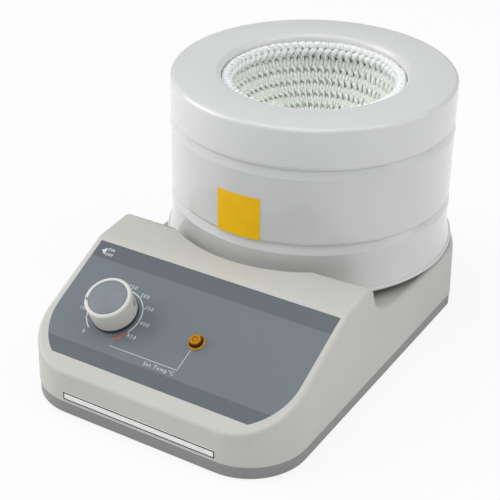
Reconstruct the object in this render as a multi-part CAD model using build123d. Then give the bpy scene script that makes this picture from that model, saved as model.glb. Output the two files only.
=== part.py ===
from build123d import *
import os
from math import asin, atan2, cos, degrees, hypot, pi, radians, sin, sqrt, tan

# A laboratory heating mantle for a 1 litre round-bottom flask, in millimetres.
# +Z is up, the control panel faces -Y, and the origin lies on the table under
# the middle of the whole outline.

os.makedirs("parts", exist_ok=True)

# ---------------------------------------------------------------- sizes: base
base_width = 201.0
base_corner_radius = 41.7
housing_wall = 2.8
housing_draft = 1.4            # degrees, side walls lean in as they rise
rear_bulge = 6.9               # the round end's radius beyond half the width
rear_junction_radius = 6.0     # softens the edge where a side meets the round end
rear_flat_cut = 3.9            # upright flat for the power inlet, in from the round end
drum_setback = 221.0           # front wall to the drum's axis
inlet_flange_thickness = 2.0

foot_drop = 1.5                # feet stand out below the tray
tray_height = 9.0
tray_inset = 0.4
tray_floor = 2.5
tray_wall = 3.2
lip_height = 3.0
lip_clearance = 0.3
lip_wall = 2.1

panel_angle = 25.0             # slope of the control panel, degrees
panel_foot_setback = 11.6      # front wall to the film's lower edge
panel_foot_height = 36.8       # above the tray's underside
panel_length = 90.6            # up the slope
panel_side_margin = 6.9        # base's side to the film's side
panel_foot_taper = 18.2        # the film's foot is this much shorter at each end
panel_corner_radius = 44.7
panel_film = 0.5
film_clearance = 0.1

slope_break_setback = 97.5     # where the slope meets the plateau
ridge_setback = 131.5          # rear edge of the plateau
plateau_rise = 2.3             # plateau climbs this much from the break to the ridge
break_round = 14.0
ridge_round = 4.0
edge_round = 3.4
scoop_top_radius = 26.0
scoop_foot_radius = 55.0
deck_height = 49.5             # above the tray's underside
recess_gap = 8.0               # drum to the round recess that it stands in
recess_edge = 0.8

# ---------------------------------------------------------------- sizes: drum
drum_radius = 100.0
shell_sheet = 1.2
cover_step = 0.1               # the cover lies this much inside the drum's wall
cover_height = 29.6
cover_shoulder = 3.4
cover_lip_radius = 64.6        # inner wall of the turned-down lip
cover_lip_round = 4.0
cover_lip_depth = 11.5
barrel_height = 55.4
skirt_height = 36.9
skirt_gap = 6.7                # deck to the skirt's rim
skirt_flare = 3.7              # the rim stands out this much from the drum's wall
skirt_rim_height = 2.6
skirt_flare_height = 16.0      # the flare starts this far above the rim
skirt_flare_round = 40.0
skirt_rim_roll = 0.6           # the rolled rim stands out from the flare
skirt_rim_round = 1.1
neck_height = 9.0              # the neck of a shell, inside the shell above it
neck_clearance = 0.3
shoulder_height = 4.4          # a shell's top edge curves in over this height
shoulder_round = 13.0
shoulder_seat = 0.3            # flat left between the shoulder and the neck
shoulder_gap = 0.3

flask_radius = 65.5
flask_clearance = 0.3
flask_centre_lift = 9.0        # flask's centre above the cover's top
fabric_thickness = 4.0
fabric_rim_drop = 6.6          # top of the knitted rim below the cover's top
fabric_roll_radius = 2.2
fabric_side_gap = 0.4          # knitted rim to the lip's wall

coil_wire_radius = 1.0
coil_clearance = 0.3
coil_first_angle = 20.0        # degrees, polar angle of the lowest heater ring
coil_step_angle = 10.0         # degrees between rings
coil_ring_count = 5

can_gap = 13.8                 # can to the drum's inner wall
can_sheet = 0.8
can_top_drop = 19.6            # can's top edge below the cover's top
can_height = 63.0
wool_clearance = 0.2
clamp_ring_thickness = 1.2
clamp_ring_overlap = 3.0       # clamp ring beyond the can
clamp_ring_gap = 0.9           # clamp ring to the fabric
post_radius = 4.0
post_inset = 15.0              # post's axis in from the can's wall

floor_sheet = 1.2
floor_rim_height = 9.0
floor_clearance = 0.4
spacer_height = 11.0
spacer_radius = 6.0
bolt_circle = 60.0
bolt_radius = 2.5
bolt_clearance = 0.2
bolt_head_radius = 4.4
bolt_head_height = 3.0
nut_flats = 8.0
nut_height = 4.0
bolt_tail = 1.2
shield_gap = 10.8              # shield to the drum's inner wall
shield_sheet = 1.0
floor_hole_radius = 14.0
shield_hole_radius = 12.0
tie_inset = 7.3                # tie rod's axis in from the drum's inner wall
tie_radius = 2.0
tie_nut_flats = 7.0
tie_nut_height = 3.2

grommet_bore = 8.5
grommet_groove_radius = 11.0
grommet_flange_radius = 14.0
grommet_flange = 1.6
heater_lead_radius = 1.5
heater_lead_spread = 5.5
sensor_radius = 1.5
sensor_gap = 0.3
sensor_fitting_flats = 9.0
sensor_fitting_height = 5.0
sensor_lead_radius = 1.2

# ------------------------------------------------------------ sizes: controls
knob_inset = 43.6              # from the film's left edge
knob_up = 41.0                 # up the slope from the film's lower edge
knob_radius = 16.0
knob_top = 20.0
knob_gap = 1.2
knob_wall = 2.0
knob_edge_round = 1.2
knob_cap_radius = 13.8
knob_cap_depth = 1.4
knob_cap_thickness = 1.0
knob_cap_clearance = 0.15
knob_hub_radius = 5.5
knob_hub_start = 6.6
pointer_width = 2.6
pointer_angle = -115.0         # clockwise from the panel's uphill direction
access_hole_radius = 2.0
access_hole_length = 6.4
access_hole_height = 9.2
set_screw_radius = 1.5
set_screw_length = 3.4

shaft_radius = 3.0
shaft_top = 15.5
shaft_clearance = 0.05
shaft_end = -9.0
bush_radius = 3.5
bush_top = 5.6
bush_hole_clearance = 0.1
pot_radius = 12.0
pot_depth = 10.0
pot_gap = 0.1
pot_tab_size = (2.4, 0.8, 7.0)
pot_tab_pitch = 5.0
pot_tab_root = 1.0             # tab inside the potentiometer's case
pot_nut_flats = 10.0
pot_nut_height = 2.0
washer_radius = 6.6
washer_thickness = 0.6

lamp_x = 14.5
lamp_up = 40.5
lamp_flange_radius = 6.2
lamp_flange_thickness = 1.5
lamp_dome_radius = 4.2
lamp_dome_height = 4.3
lamp_barrel_radius = 4.6
lamp_hole_clearance = 0.2
lamp_holder_radius = 6.8
lamp_holder_length = 12.0
lamp_pin_radius = 0.6
lamp_pin_length = 5.0
lamp_pin_spread = 2.5

switch_setback = 88.0
switch_height = 46.5           # above the tray's underside
switch_bezel = (21.0, 15.0, 1.8)
switch_box = (18.8, 12.6, 10.0)
switch_box_clearance = 0.2
rocker_size = (15.4, 9.2)
rocker_side_gap = 0.4
rocker_swing = 8.0             # degrees each way from level
rocker_crown = 2.4             # above the bezel's seat at the middle, level
rocker_shoulder = 1.2
rocker_root = -4.2
rocker_root_length = 6.0
rocker_pin_radius = 0.9
rocker_pin_clearance = 0.06
rocker_pin_height = -1.6
switch_tab_size = (4.8, 0.8, 7.0)
switch_tab_pitch = 7.0

inlet_height = 27.0            # centre, above the tray's underside
inlet_flange = (50.0, 24.0)
inlet_body = (28.0, 20.0)
inlet_body_clearance = 0.2
inlet_depth = 20.0
inlet_cavity = (24.0, 16.0, 15.0)
inlet_corner = 4.0
inlet_pin = (2.0, 4.0, 12.0)
inlet_pin_spread = 7.0
inlet_pin_drop = 2.0
inlet_tab_length = 7.0
inlet_screw_pitch = 40.0
inlet_screw_radius = 1.5
inlet_screw_head_radius = 2.8
inlet_screw_head_height = 1.6
inlet_screw_length = 9.0
inlet_nut_flats = 5.5
inlet_nut_height = 2.4

# ------------------------------------------------- sizes: inside of the base
board_width = 110.0
board_length = 80.0
board_setback = 110.0
board_thickness = 1.6
board_lift = 12.0              # above the tray's floor
board_hole_inset = 5.0
board_screw_radius = 1.4
board_screw_length = 7.0       # below the board
board_screw_tip = 1.2          # bore beyond the screw's tip
board_screw_head_radius = 2.6
board_screw_head_height = 1.6
standoff_radius = 3.5
screw_bore_clearance = 0.1
transformer_size = (34.0, 29.0, 22.0)
transformer_place = (-30.0, 38.0)
relay_size = (22.0, 16.0, 16.0)
relay_place = (24.0, 26.0)
capacitor_radius = 6.0
capacitor_height = 16.0
capacitor_place = (8.0, 52.0)
sink_size = (24.0, 12.0, 20.0)
sink_place = (34.0, 52.0)
sink_fin = 1.6
sink_fin_count = 5
fuse_radius = 2.6
fuse_length = 20.0
fuse_place = (0.0, 26.0)
fuse_clip = (3.0, 7.0, 4.0)
connector_size = (96.0, 7.0, 9.0)

terminal_size = (30.0, 16.0, 16.0)
lead_radius = 1.1
lead_bend = 6.0
thin_lead_radius = 0.8
thin_lead_bend = 3.0
lead_start = 12.0              # straight run out of a terminal or tab
lead_finish = 14.0             # straight run into a connector
lead_drop = 3.0                # below the connector's top
inlet_lead_slant = 28.0
inlet_lead_spread = 36.0
supply_lead_spread = 7.5
supply_lead_rise = 9.6         # above the terminal block's foot
switch_lead_spread = 36.0
switch_lead_pitch = 8.0
knob_lead_middle = 14.0
knob_lead_pitch = 4.0
lamp_lead_offset = 4.0
heater_lead_bend = 8.0
heater_lead_run = 7.0

screw_head_radius = 3.5
screw_head_height = 2.0
screw_radius = 1.5
screw_length = 22.0
screw_clearance = 0.05
screw_recess = 0.5             # head sunk below the tray's underside
screw_head_clearance = 0.3
boss_radius = 5.0
boss_gap = 0.2
tray_pad_radius = 7.0
tray_pad_height = 4.0
front_screw_side = 25.5        # in from the base's side
front_screw_setback = 38.0     # behind the front wall
rear_screw_side = 32.5
rear_screw_setback = 64.0      # behind the drum's axis

foot_radius = 9.0
foot_pocket = 1.0
foot_clearance = 0.1
foot_chamfer = 0.5
front_foot_side = 22.5
front_foot_setback = 66.0      # behind the front wall
rear_foot_side = 18.5
rear_foot_setback = 29.0       # behind the drum's axis

vent_length = 34.0
vent_width = 3.0
vent_pitch = 9.0
vent_count = 6
vent_setback = 134.0

strip_label_length = 118.5
strip_label_height = 6.4
strip_label_rise = 14.0        # centre, above the tray's underside
label_film = 0.2
drum_label_width = 33.0
drum_label_height = 31.0
drum_label_rise = 1.0          # above the lower edge of the barrel

# -------------------------------------------------------------- worked places
half_width = base_width / 2
rear_radius = half_width + rear_bulge
rear_flat_offset = rear_radius - rear_flat_cut
overall_depth = drum_setback + rear_flat_offset + inlet_flange_thickness
front_y = -overall_depth / 2
drum_y = front_y + drum_setback
panel_top_width = base_width - 2 * panel_side_margin
panel_foot_width = panel_top_width - 2 * panel_foot_taper
knob_x = knob_inset - panel_top_width / 2

tray_z = foot_drop
housing_z = tray_z + tray_height
floor_z = tray_z + tray_floor
deck_z = tray_z + deck_height
panel_foot_z = tray_z + panel_foot_height
slope = tan(radians(panel_angle))
break_z = panel_foot_z + (slope_break_setback - panel_foot_setback) * slope
ridge_z = break_z + plateau_rise
deck_under_z = deck_z - housing_wall

skirt_z = deck_z + skirt_gap
barrel_z = skirt_z + skirt_height
cover_z = barrel_z + barrel_height
top_z = cover_z + cover_height
inner_radius = drum_radius - shell_sheet
recess_radius = drum_radius + recess_gap
cover_radius = drum_radius - cover_step
skirt_rim_radius = drum_radius + skirt_flare
can_radius = inner_radius - can_gap
clamp_ring_radius = can_radius + clamp_ring_overlap
post_circle = can_radius - post_inset
shield_radius = inner_radius - shield_gap
tie_circle = inner_radius - tie_inset
neck_radius = inner_radius - neck_clearance

flask_z = top_z + flask_centre_lift
bowl_radius = flask_radius + flask_clearance
fabric_outer = bowl_radius + fabric_thickness
coil_sphere = fabric_outer + coil_clearance + coil_wire_radius
wool_sphere = coil_sphere + coil_wire_radius + coil_clearance
can_top_z = top_z - can_top_drop
can_z = can_top_z - can_height

shield_z = deck_z + spacer_height
floor_pan_z = shield_z + shield_sheet + spacer_height
floor_pan_top = floor_pan_z + floor_sheet

board_z = floor_z + board_lift
board_top = board_z + board_thickness
terminal_top = floor_z + terminal_size[2]

# Local frame of the control panel: x across, y up the slope, z out of the film,
# with its origin in the middle of the film's lower edge.
panel_frame = Plane(
    origin=(0, front_y + panel_foot_setback, panel_foot_z),
    x_dir=(1, 0, 0),
    z_dir=(0, -sin(radians(panel_angle)), cos(radians(panel_angle))),
).location
knob_frame = panel_frame * Pos(knob_x, knob_up, 0) * Rot(0, 0, -pointer_angle)
lamp_frame = panel_frame * Pos(lamp_x, lamp_up, 0)


def wall_x(z):
    """Half width of the housing at height z."""
    return half_width - (z - housing_z) * tan(radians(housing_draft))


# Local frame of the rocker switch on the left wall: x to the front, y up the
# wall, z straight out of the wall.
switch_z = tray_z + switch_height
switch_frame_place = Plane(
    origin=(-wall_x(switch_z), front_y + switch_setback, switch_z),
    x_dir=(0, -1, 0),
    z_dir=(-cos(radians(housing_draft)), 0, sin(radians(housing_draft))),
).location

# Local frame of the power inlet on the rear flat: x to the left seen from
# behind, y up, z out to the rear.
inlet_z = tray_z + inlet_height
inlet_frame = Plane(
    origin=(0, drum_y + rear_flat_offset, inlet_z),
    x_dir=(-1, 0, 0),
    z_dir=(0, 1, 0),
).location

parts = {}


# ------------------------------------------------------------------- helpers
def section(points, rounds=()):
    """A closed outline of straight runs, with the corners near the given places rounded."""
    face = make_face(Polyline(*points, close=True))
    for place, radius in rounds:
        corner = face.vertices().sort_by_distance(Vector(*place))[0]
        face = fillet(corner, radius)
    return face


def turned(face):
    """A solid turned about the Z axis from an outline given as (radius, height)."""
    return revolve(Plane.XZ * face, Axis.Z)


def disc(radius, low, high):
    """An upright cylinder about Z between two heights."""
    return Pos(0, 0, low) * extrude(Circle(radius), high - low)


def tube(outer, inner, low, high):
    return disc(outer, low, high) - disc(inner, low - 1, high + 1)


def hexagon(flats, low, high):
    return Pos(0, 0, low) * extrude(RegularPolygon(flats / 2, 6, major_radius=False), high - low)


def block(size, low=0.0):
    """A box centred in x and y that stands on the given height."""
    return Pos(0, 0, low + size[2] / 2) * Box(size[0], size[1], size[2])


def around(shape, radius, angles):
    """Copies of a shape set on a circle about Z, one at each angle."""
    return [Rot(0, 0, angle) * Pos(radius, 0, 0) * shape for angle in angles]


def group(shapes):
    return Compound(children=list(shapes))


def lead(points, radius, bend):
    """An insulated wire along straight runs joined by equal bends."""
    path = FilletPolyline(*points, radius=bend)
    start = Plane(origin=path @ 0, z_dir=path % 0)
    return sweep(start * Circle(radius), path=path)


def drum_place(shape):
    """Moves a shape made about Z to the drum's axis."""
    return Pos(0, drum_y, 0) * shape


# ---------------------------------------------------------------- base shapes
def base_outline(inset):
    """Plan of the base, drawn in by the inset on every side but the rear flat."""
    half = half_width - inset
    round_end = rear_radius - inset
    front = front_y + inset
    junction_y = drum_y + sqrt(round_end**2 - half**2)
    body = Pos(0, (front + junction_y) / 2) * Rectangle(2 * half, junction_y - front)
    end = Pos(0, drum_y) * Circle(round_end)
    end &= Pos(0, drum_y + round_end / 2) * Rectangle(2 * half, round_end)
    outline = body + end
    for side in (-1, 1):
        corner = outline.vertices().sort_by_distance(Vector(side * half, front))[0]
        outline = fillet(corner, base_corner_radius - inset)
        junction = outline.vertices().sort_by_distance(Vector(side * half, junction_y))[0]
        outline = fillet(junction, rear_junction_radius)
    return outline


def behind_flat(inset):
    """Everything behind the upright flat at the rear."""
    size = 3 * base_width
    place = drum_y + rear_flat_offset - inset + size / 2
    return Pos(0, place, 0) * Box(size, size, size)


def roof_profile():
    """Side view of the housing's top, front at the left, as a face in (y, z)."""
    top_centre = (front_y + ridge_setback + scoop_top_radius, ridge_z)
    foot_centre_z = deck_z + scoop_foot_radius
    centre_gap = scoop_foot_radius - scoop_top_radius
    rise = foot_centre_z - top_centre[1]
    run = sqrt(centre_gap**2 - rise**2)
    foot_centre = (top_centre[0] + run, foot_centre_z)
    meet = (
        top_centre[0] - scoop_top_radius * run / centre_gap,
        top_centre[1] - scoop_top_radius * rise / centre_gap,
    )
    ridge = (top_centre[0] - scoop_top_radius, ridge_z)
    slope_angle = atan2(rise, run)
    top_mid_angle = slope_angle / 2
    top_mid = (
        top_centre[0] - scoop_top_radius * cos(top_mid_angle),
        top_centre[1] - scoop_top_radius * sin(top_mid_angle),
    )
    foot_mid_angle = (slope_angle + pi / 2) / 2
    foot_mid = (
        foot_centre[0] - scoop_foot_radius * cos(foot_mid_angle),
        foot_centre[1] - scoop_foot_radius * sin(foot_mid_angle),
    )
    scoop_end = (foot_centre[0], deck_z)
    front = front_y - 40.0
    back = drum_y + 2 * rear_radius
    low = -40.0
    start_z = panel_foot_z + (front - front_y - panel_foot_setback) * slope
    slope_break = (front_y + slope_break_setback, break_z)
    edges = [
        Line((front, low), (front, start_z)),
        Line((front, start_z), slope_break),
        Line(slope_break, ridge),
        ThreePointArc(ridge, top_mid, meet),
        ThreePointArc(meet, foot_mid, scoop_end),
        Line(scoop_end, (back, deck_z)),
        Line((back, deck_z), (back, low)),
        Line((back, low), (front, low)),
    ]
    face = make_face(edges)
    corner = face.vertices().sort_by_distance(Vector(*slope_break))[0]
    face = fillet(corner, break_round)
    corner = face.vertices().sort_by_distance(Vector(*ridge))[0]
    return fillet(corner, ridge_round)


def across(face, width):
    """Stands a (y, z) face up and runs it across the whole width."""
    upright = Plane.YZ * face
    return extrude(upright, width / 2, both=True)


def panel_outline(growth):
    """The film's outline in the panel's frame, grown on every side."""
    half_top = panel_top_width / 2 + growth
    half_foot = panel_foot_width / 2 + growth
    radius = panel_corner_radius + growth
    reach = radius - (half_top - half_foot)
    side_start = sqrt(radius**2 - reach**2) - growth
    centre_x = half_top - radius
    low = -growth
    high = panel_length + growth
    mid_angle = (atan2(-side_start - growth, reach) + 0.0) / 2
    mid = (centre_x + radius * cos(mid_angle), side_start + radius * sin(mid_angle))
    edges = [
        Line((-half_foot, low), (half_foot, low)),
        ThreePointArc((half_foot, low), mid, (half_top, side_start)),
        Line((half_top, side_start), (half_top, high)),
        Line((half_top, high), (-half_top, high)),
        Line((-half_top, high), (-half_top, side_start)),
        ThreePointArc((-half_top, side_start), (-mid[0], mid[1]), (-half_foot, low)),
    ]
    return make_face(edges)


def screw_places():
    front = (half_width - front_screw_side, front_y + front_screw_setback)
    rear = (half_width - rear_screw_side, drum_y + rear_screw_setback)
    return [(side * place[0], place[1]) for place in (front, rear) for side in (-1, 1)]


def foot_places():
    front = (half_width - front_foot_side, front_y + front_foot_setback)
    rear = (half_width - rear_foot_side, drum_y + rear_foot_setback)
    places = []
    for end, place in (("front", front), ("rear", rear)):
        for name, side in (("left", -1), ("right", 1)):
            places.append((end + "_" + name, side * place[0], place[1]))
    return places


bolt_angles = (90.0, 210.0, 330.0)
tie_angles = (30.0, 150.0, 270.0)


# ----------------------------------------------------------------- the base
def make_housing():
    tall = ridge_z - housing_z + 20.0
    shell = Pos(0, 0, housing_z) * extrude(base_outline(0), tall, taper=housing_draft)
    shell &= across(roof_profile(), 2 * base_width)
    roof_edges = [
        edge
        for edge in shell.edges()
        if edge.center().Z > panel_foot_z - panel_foot_setback * slope - 1.0
        and not on_centre(edge)
        and not upright(edge)
    ]
    shell = fillet(roof_edges, edge_round)
    shell -= behind_flat(0)
    well = drum_place(disc(recess_radius, deck_z, top_z))
    shell -= well
    cavity = Pos(0, 0, housing_z - 10.0) * extrude(
        base_outline(housing_wall - 10.0 * tan(radians(housing_draft))),
        tall + 10.0,
        taper=housing_draft,
    )
    cavity &= across(offset(roof_profile(), -housing_wall), 2 * base_width)
    cavity -= behind_flat(housing_wall)
    cavity -= drum_place(disc(recess_radius + housing_wall, deck_under_z, top_z))
    housing = shell - cavity
    for x, y in screw_places():
        boss = Pos(x, y, 0) * disc(boss_radius, floor_z + tray_pad_height + boss_gap, ridge_z)
        housing += boss & shell
        housing -= Pos(x, y, 0) * disc(
            screw_radius + screw_clearance, 0, floor_z + screw_length + screw_recess
        )
    housing -= panel_frame * extrude(panel_outline(film_clearance), panel_film, both=True)
    housing -= knob_frame * disc(bush_radius + bush_hole_clearance, -20, 5)
    housing -= lamp_frame * disc(lamp_barrel_radius + lamp_hole_clearance, -20, 5)
    switch_hole = (
        switch_box[0] + 2 * switch_box_clearance,
        switch_box[1] + 2 * switch_box_clearance,
        20.0,
    )
    housing -= switch_frame_place * Box(*switch_hole)
    inlet_hole = RectangleRounded(
        inlet_body[0] + 2 * inlet_body_clearance,
        inlet_body[1] + 2 * inlet_body_clearance,
        inlet_corner,
    )
    housing -= inlet_frame * extrude(inlet_hole, 12, both=True)
    for side in (-1, 1):
        hole = disc(inlet_screw_radius + screw_bore_clearance, -12, 12)
        housing -= inlet_frame * Pos(side * inlet_screw_pitch / 2, 0, 0) * hole
    housing -= drum_place(disc(grommet_groove_radius, 0, top_z))
    for hole in around(disc(bolt_radius + bolt_clearance, 0, top_z), bolt_circle, bolt_angles):
        housing -= drum_place(hole)
    return housing


def upright(edge):
    """True for an edge that climbs a wall from the bottom of the housing."""
    return abs(edge.bounding_box().min.Z - housing_z) < 0.01


def on_centre(edge):
    """True for an edge that runs straight across the roof from side to side."""
    box = edge.bounding_box()
    wide = box.size.X > base_width / 2
    return wide and edge.center().Y > front_y + panel_foot_setback


def make_tray():
    outer = Pos(0, 0, tray_z) * extrude(base_outline(tray_inset), tray_height)
    inner = Pos(0, 0, floor_z) * extrude(base_outline(tray_wall), tray_height)
    tray = outer - inner - behind_flat(tray_inset)
    lip_inset = housing_wall + lip_clearance
    lip = extrude(base_outline(lip_inset), tray_height - tray_floor + lip_height)
    lip = Pos(0, 0, floor_z) * lip - behind_flat(lip_inset)
    hollow = extrude(base_outline(lip_inset + lip_wall), 2 * tray_height)
    lip -= Pos(0, 0, floor_z) * hollow - behind_flat(lip_inset + lip_wall)
    rear_wall = outer & behind_flat(lip_inset)
    tray += lip
    tray += rear_wall - behind_flat(tray_inset)
    for x, y in screw_places():
        tray += Pos(x, y, 0) * disc(tray_pad_radius, floor_z, floor_z + tray_pad_height)
        head_bore = screw_head_radius + screw_head_clearance
        head_top = tray_z + screw_recess + screw_head_height
        tray -= Pos(x, y, 0) * disc(head_bore, 0, head_top)
        tray -= Pos(x, y, 0) * disc(screw_radius + screw_clearance, 0, housing_z + 5)
    for name, x, y in foot_places():
        tray -= Pos(x, y, 0) * disc(foot_radius + foot_clearance, 0, tray_z + foot_pocket)
    for index in range(vent_count):
        y = front_y + vent_setback + index * vent_pitch
        for side in (-1, 1):
            slot = SlotOverall(vent_length, vent_width)
            tray -= Pos(side * vent_length * 0.75, y, 0) * extrude(slot, floor_z + 1)
    return tray


def make_feet():
    for name, x, y in foot_places():
        foot = disc(foot_radius, 0, tray_z + foot_pocket)
        foot = chamfer(foot.edges().group_by(Axis.Z)[0], foot_chamfer)
        parts["foot_" + name] = Pos(x, y, 0) * foot


def make_base_screws():
    screws = []
    head_low = tray_z + screw_recess
    for x, y in screw_places():
        head = disc(screw_head_radius, head_low, head_low + screw_head_height)
        shank = disc(screw_radius, head_low, head_low + screw_length)
        slot = Pos(0, 0, head_low) * Box(2 * screw_head_radius, 0.8, 1.6)
        cross = Rot(0, 0, 90) * slot
        bounds = disc(screw_head_radius * 0.6, 0, head_low + 1)
        screws.append(Pos(x, y, 0) * (head + shank - ((slot + cross) & bounds)))
    parts["base_screws"] = group(screws)


def make_labels():
    lean = Plane(
        origin=(0, front_y + (tray_z + strip_label_rise - housing_z) * tan(radians(housing_draft)),
                tray_z + strip_label_rise),
        x_dir=(1, 0, 0),
        z_dir=(0, -cos(radians(housing_draft)), sin(radians(housing_draft))),
    ).location
    parts["strip_label"] = lean * block((strip_label_length, strip_label_height, label_film))
    film = tube(drum_radius + label_film, drum_radius, barrel_z, cover_z)
    low = barrel_z + drum_label_rise
    cut = Pos(0, -drum_radius, low + drum_label_height / 2)
    cut = cut * Box(drum_label_width, drum_radius, drum_label_height)
    parts["drum_label"] = drum_place(film & cut)


# ----------------------------------------------------------------- the drum
def make_top_cover():
    sheet = shell_sheet
    lip = cover_lip_radius
    points = [
        (cover_radius, cover_z),
        (cover_radius, top_z),
        (lip, top_z),
        (lip, top_z - cover_lip_depth),
        (lip + sheet, top_z - cover_lip_depth),
        (lip + sheet, top_z - sheet),
        (cover_radius - sheet, top_z - sheet),
        (cover_radius - sheet, cover_z),
    ]
    rounds = [
        ((cover_radius, top_z), cover_shoulder),
        ((cover_radius - sheet, top_z - sheet), cover_shoulder - sheet),
        ((lip, top_z), cover_lip_round),
        ((lip + sheet, top_z - sheet), cover_lip_round - sheet),
    ]
    return drum_place(turned(section(points, rounds)))


def shoulder_points(top):
    """The neck and rolled shoulder of a shell whose wall ends at the given height."""
    sheet = shell_sheet
    inner = neck_radius - sheet
    return [
        (drum_radius, top - shoulder_height),
        (neck_radius + shoulder_seat, top),
        (neck_radius, top),
        (neck_radius, top + neck_height),
        (inner, top + neck_height),
        (inner, top - shoulder_height - sheet),
        (inner_radius, top - shoulder_height - sheet),
    ]


def shoulder_rounds(top):
    return [((drum_radius, top - shoulder_height), shoulder_round)]


def make_barrel():
    top = cover_z - shoulder_gap
    points = [(drum_radius, barrel_z)] + shoulder_points(top) + [(inner_radius, barrel_z)]
    return drum_place(turned(section(points, shoulder_rounds(top))))


def make_skirt():
    top = barrel_z - shoulder_gap
    sheet = shell_sheet
    flare_z = skirt_z + skirt_flare_height
    rim_top = skirt_z + skirt_rim_height
    flare_radius = skirt_rim_radius - skirt_rim_roll
    flare_foot = rim_top + skirt_rim_roll
    points = [
        (skirt_rim_radius, skirt_z),
        (skirt_rim_radius, rim_top),
        (flare_radius, flare_foot),
        (drum_radius, flare_z),
    ]
    points += shoulder_points(top)
    points += [
        (inner_radius, flare_z),
        (flare_radius - sheet, flare_foot),
        (flare_radius - sheet, skirt_z + sheet),
        (flare_radius - 2 * sheet, skirt_z + sheet),
        (flare_radius - 2 * sheet, skirt_z),
    ]
    rounds = shoulder_rounds(top) + [
        ((skirt_rim_radius, skirt_z), skirt_rim_round),
        ((skirt_rim_radius, rim_top), skirt_rim_round),
        ((drum_radius, flare_z), skirt_flare_round),
        ((inner_radius, flare_z), skirt_flare_round),
    ]
    return drum_place(turned(section(points, rounds)))


def ball(radius):
    return Pos(0, 0, flask_z) * Sphere(radius)


def make_bowl():
    rim_z = top_z - fabric_rim_drop
    side = cover_lip_radius - fabric_side_gap
    roll_z = rim_z - fabric_roll_radius
    lip_low = top_z - cover_lip_depth - 1.0
    shell = ball(fabric_outer) & disc(2 * drum_radius, 0, roll_z)
    shell -= tube(2 * drum_radius, side, lip_low, top_z)
    shell -= ball(bowl_radius)
    roll = Pos(0, 0, roll_z) * Torus(side - fabric_roll_radius, fabric_roll_radius)
    return drum_place(shell + roll)


def coil_angles():
    return [coil_first_angle + index * coil_step_angle for index in range(coil_ring_count)]


def make_coil():
    rings = []
    for angle in coil_angles():
        ring = Torus(coil_sphere * sin(radians(angle)), coil_wire_radius)
        rings.append(drum_place(Pos(0, 0, flask_z - coil_sphere * cos(radians(angle))) * ring))
    return group(rings)


def make_wool():
    low = can_z + can_sheet + wool_clearance
    wool = disc(can_radius - can_sheet - wool_clearance, low, can_top_z - wool_clearance)
    wool -= ball(wool_sphere)
    wool -= disc(sensor_radius + sensor_gap, 0, flask_z)
    first = radians(coil_first_angle)
    for side in (-1, 1):
        bore = disc(heater_lead_radius + sensor_gap, 0, flask_z)
        wool -= Pos(side * coil_sphere * sin(first), 0, 0) * bore
    return drum_place(wool)


def make_can():
    can = tube(can_radius, can_radius - can_sheet, can_z, can_top_z)
    can += disc(can_radius, can_z, can_z + can_sheet)
    can -= disc(sensor_radius + sensor_gap, 0, flask_z)
    for side in (-1, 1):
        bore = disc(heater_lead_radius + sensor_gap, 0, flask_z)
        can -= Pos(side * coil_sphere * sin(radians(coil_first_angle)), 0, 0) * bore
    return drum_place(can)


def make_clamp_ring():
    height = flask_z - can_top_z - clamp_ring_thickness
    hole = sqrt(fabric_outer**2 - height**2) + clamp_ring_gap
    top = can_top_z + clamp_ring_thickness
    return drum_place(tube(clamp_ring_radius, hole, can_top_z, top))


def make_posts():
    post = disc(post_radius, floor_pan_top, can_z)
    return group(drum_place(shape) for shape in around(post, post_circle, tie_angles))


def make_floor_pan():
    outer = inner_radius - floor_clearance
    pan = disc(outer, floor_pan_z, floor_pan_top)
    pan += tube(outer, outer - floor_sheet, floor_pan_z, floor_pan_z + floor_rim_height)
    pan -= disc(floor_hole_radius, 0, top_z)
    for hole in around(disc(bolt_radius + bolt_clearance, 0, top_z), bolt_circle, bolt_angles):
        pan -= hole
    for hole in around(disc(tie_radius + bolt_clearance, 0, top_z), tie_circle, tie_angles):
        pan -= hole
    return drum_place(pan)


def make_shield():
    shield = disc(shield_radius, shield_z, shield_z + shield_sheet)
    shield -= disc(shield_hole_radius, 0, top_z)
    for hole in around(disc(bolt_radius + bolt_clearance, 0, top_z), bolt_circle, bolt_angles):
        shield -= hole
    return drum_place(shield)


def make_spacers():
    bore = bolt_radius + bolt_clearance
    lower = tube(spacer_radius, bore, deck_z, shield_z)
    upper = tube(spacer_radius, bore, shield_z + shield_sheet, floor_pan_z)
    shapes = around(lower, bolt_circle, bolt_angles) + around(upper, bolt_circle, bolt_angles)
    return group(drum_place(shape) for shape in shapes)


def make_drum_bolts():
    low = deck_under_z - nut_height - bolt_tail
    bolt = disc(bolt_radius, low, floor_pan_top)
    bolt += disc(bolt_head_radius, floor_pan_top, floor_pan_top + bolt_head_height)
    nut = hexagon(nut_flats, deck_under_z - nut_height, deck_under_z)
    nut -= disc(bolt_radius + screw_clearance, 0, top_z)
    shapes = around(bolt, bolt_circle, bolt_angles)
    parts["drum_bolts"] = group(drum_place(shape) for shape in shapes)
    shapes = around(nut, bolt_circle, bolt_angles)
    parts["drum_nuts"] = group(drum_place(shape) for shape in shapes)


def make_tie_rods():
    low = floor_pan_z - tie_nut_height - bolt_tail
    rod = disc(tie_radius, low, top_z - shell_sheet)
    nut = hexagon(tie_nut_flats, floor_pan_z - tie_nut_height, floor_pan_z)
    nut -= disc(tie_radius + screw_clearance, 0, top_z)
    shapes = around(rod, tie_circle, tie_angles)
    parts["tie_rods"] = group(drum_place(shape) for shape in shapes)
    shapes = around(nut, tie_circle, tie_angles)
    parts["tie_nuts"] = group(drum_place(shape) for shape in shapes)


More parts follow.
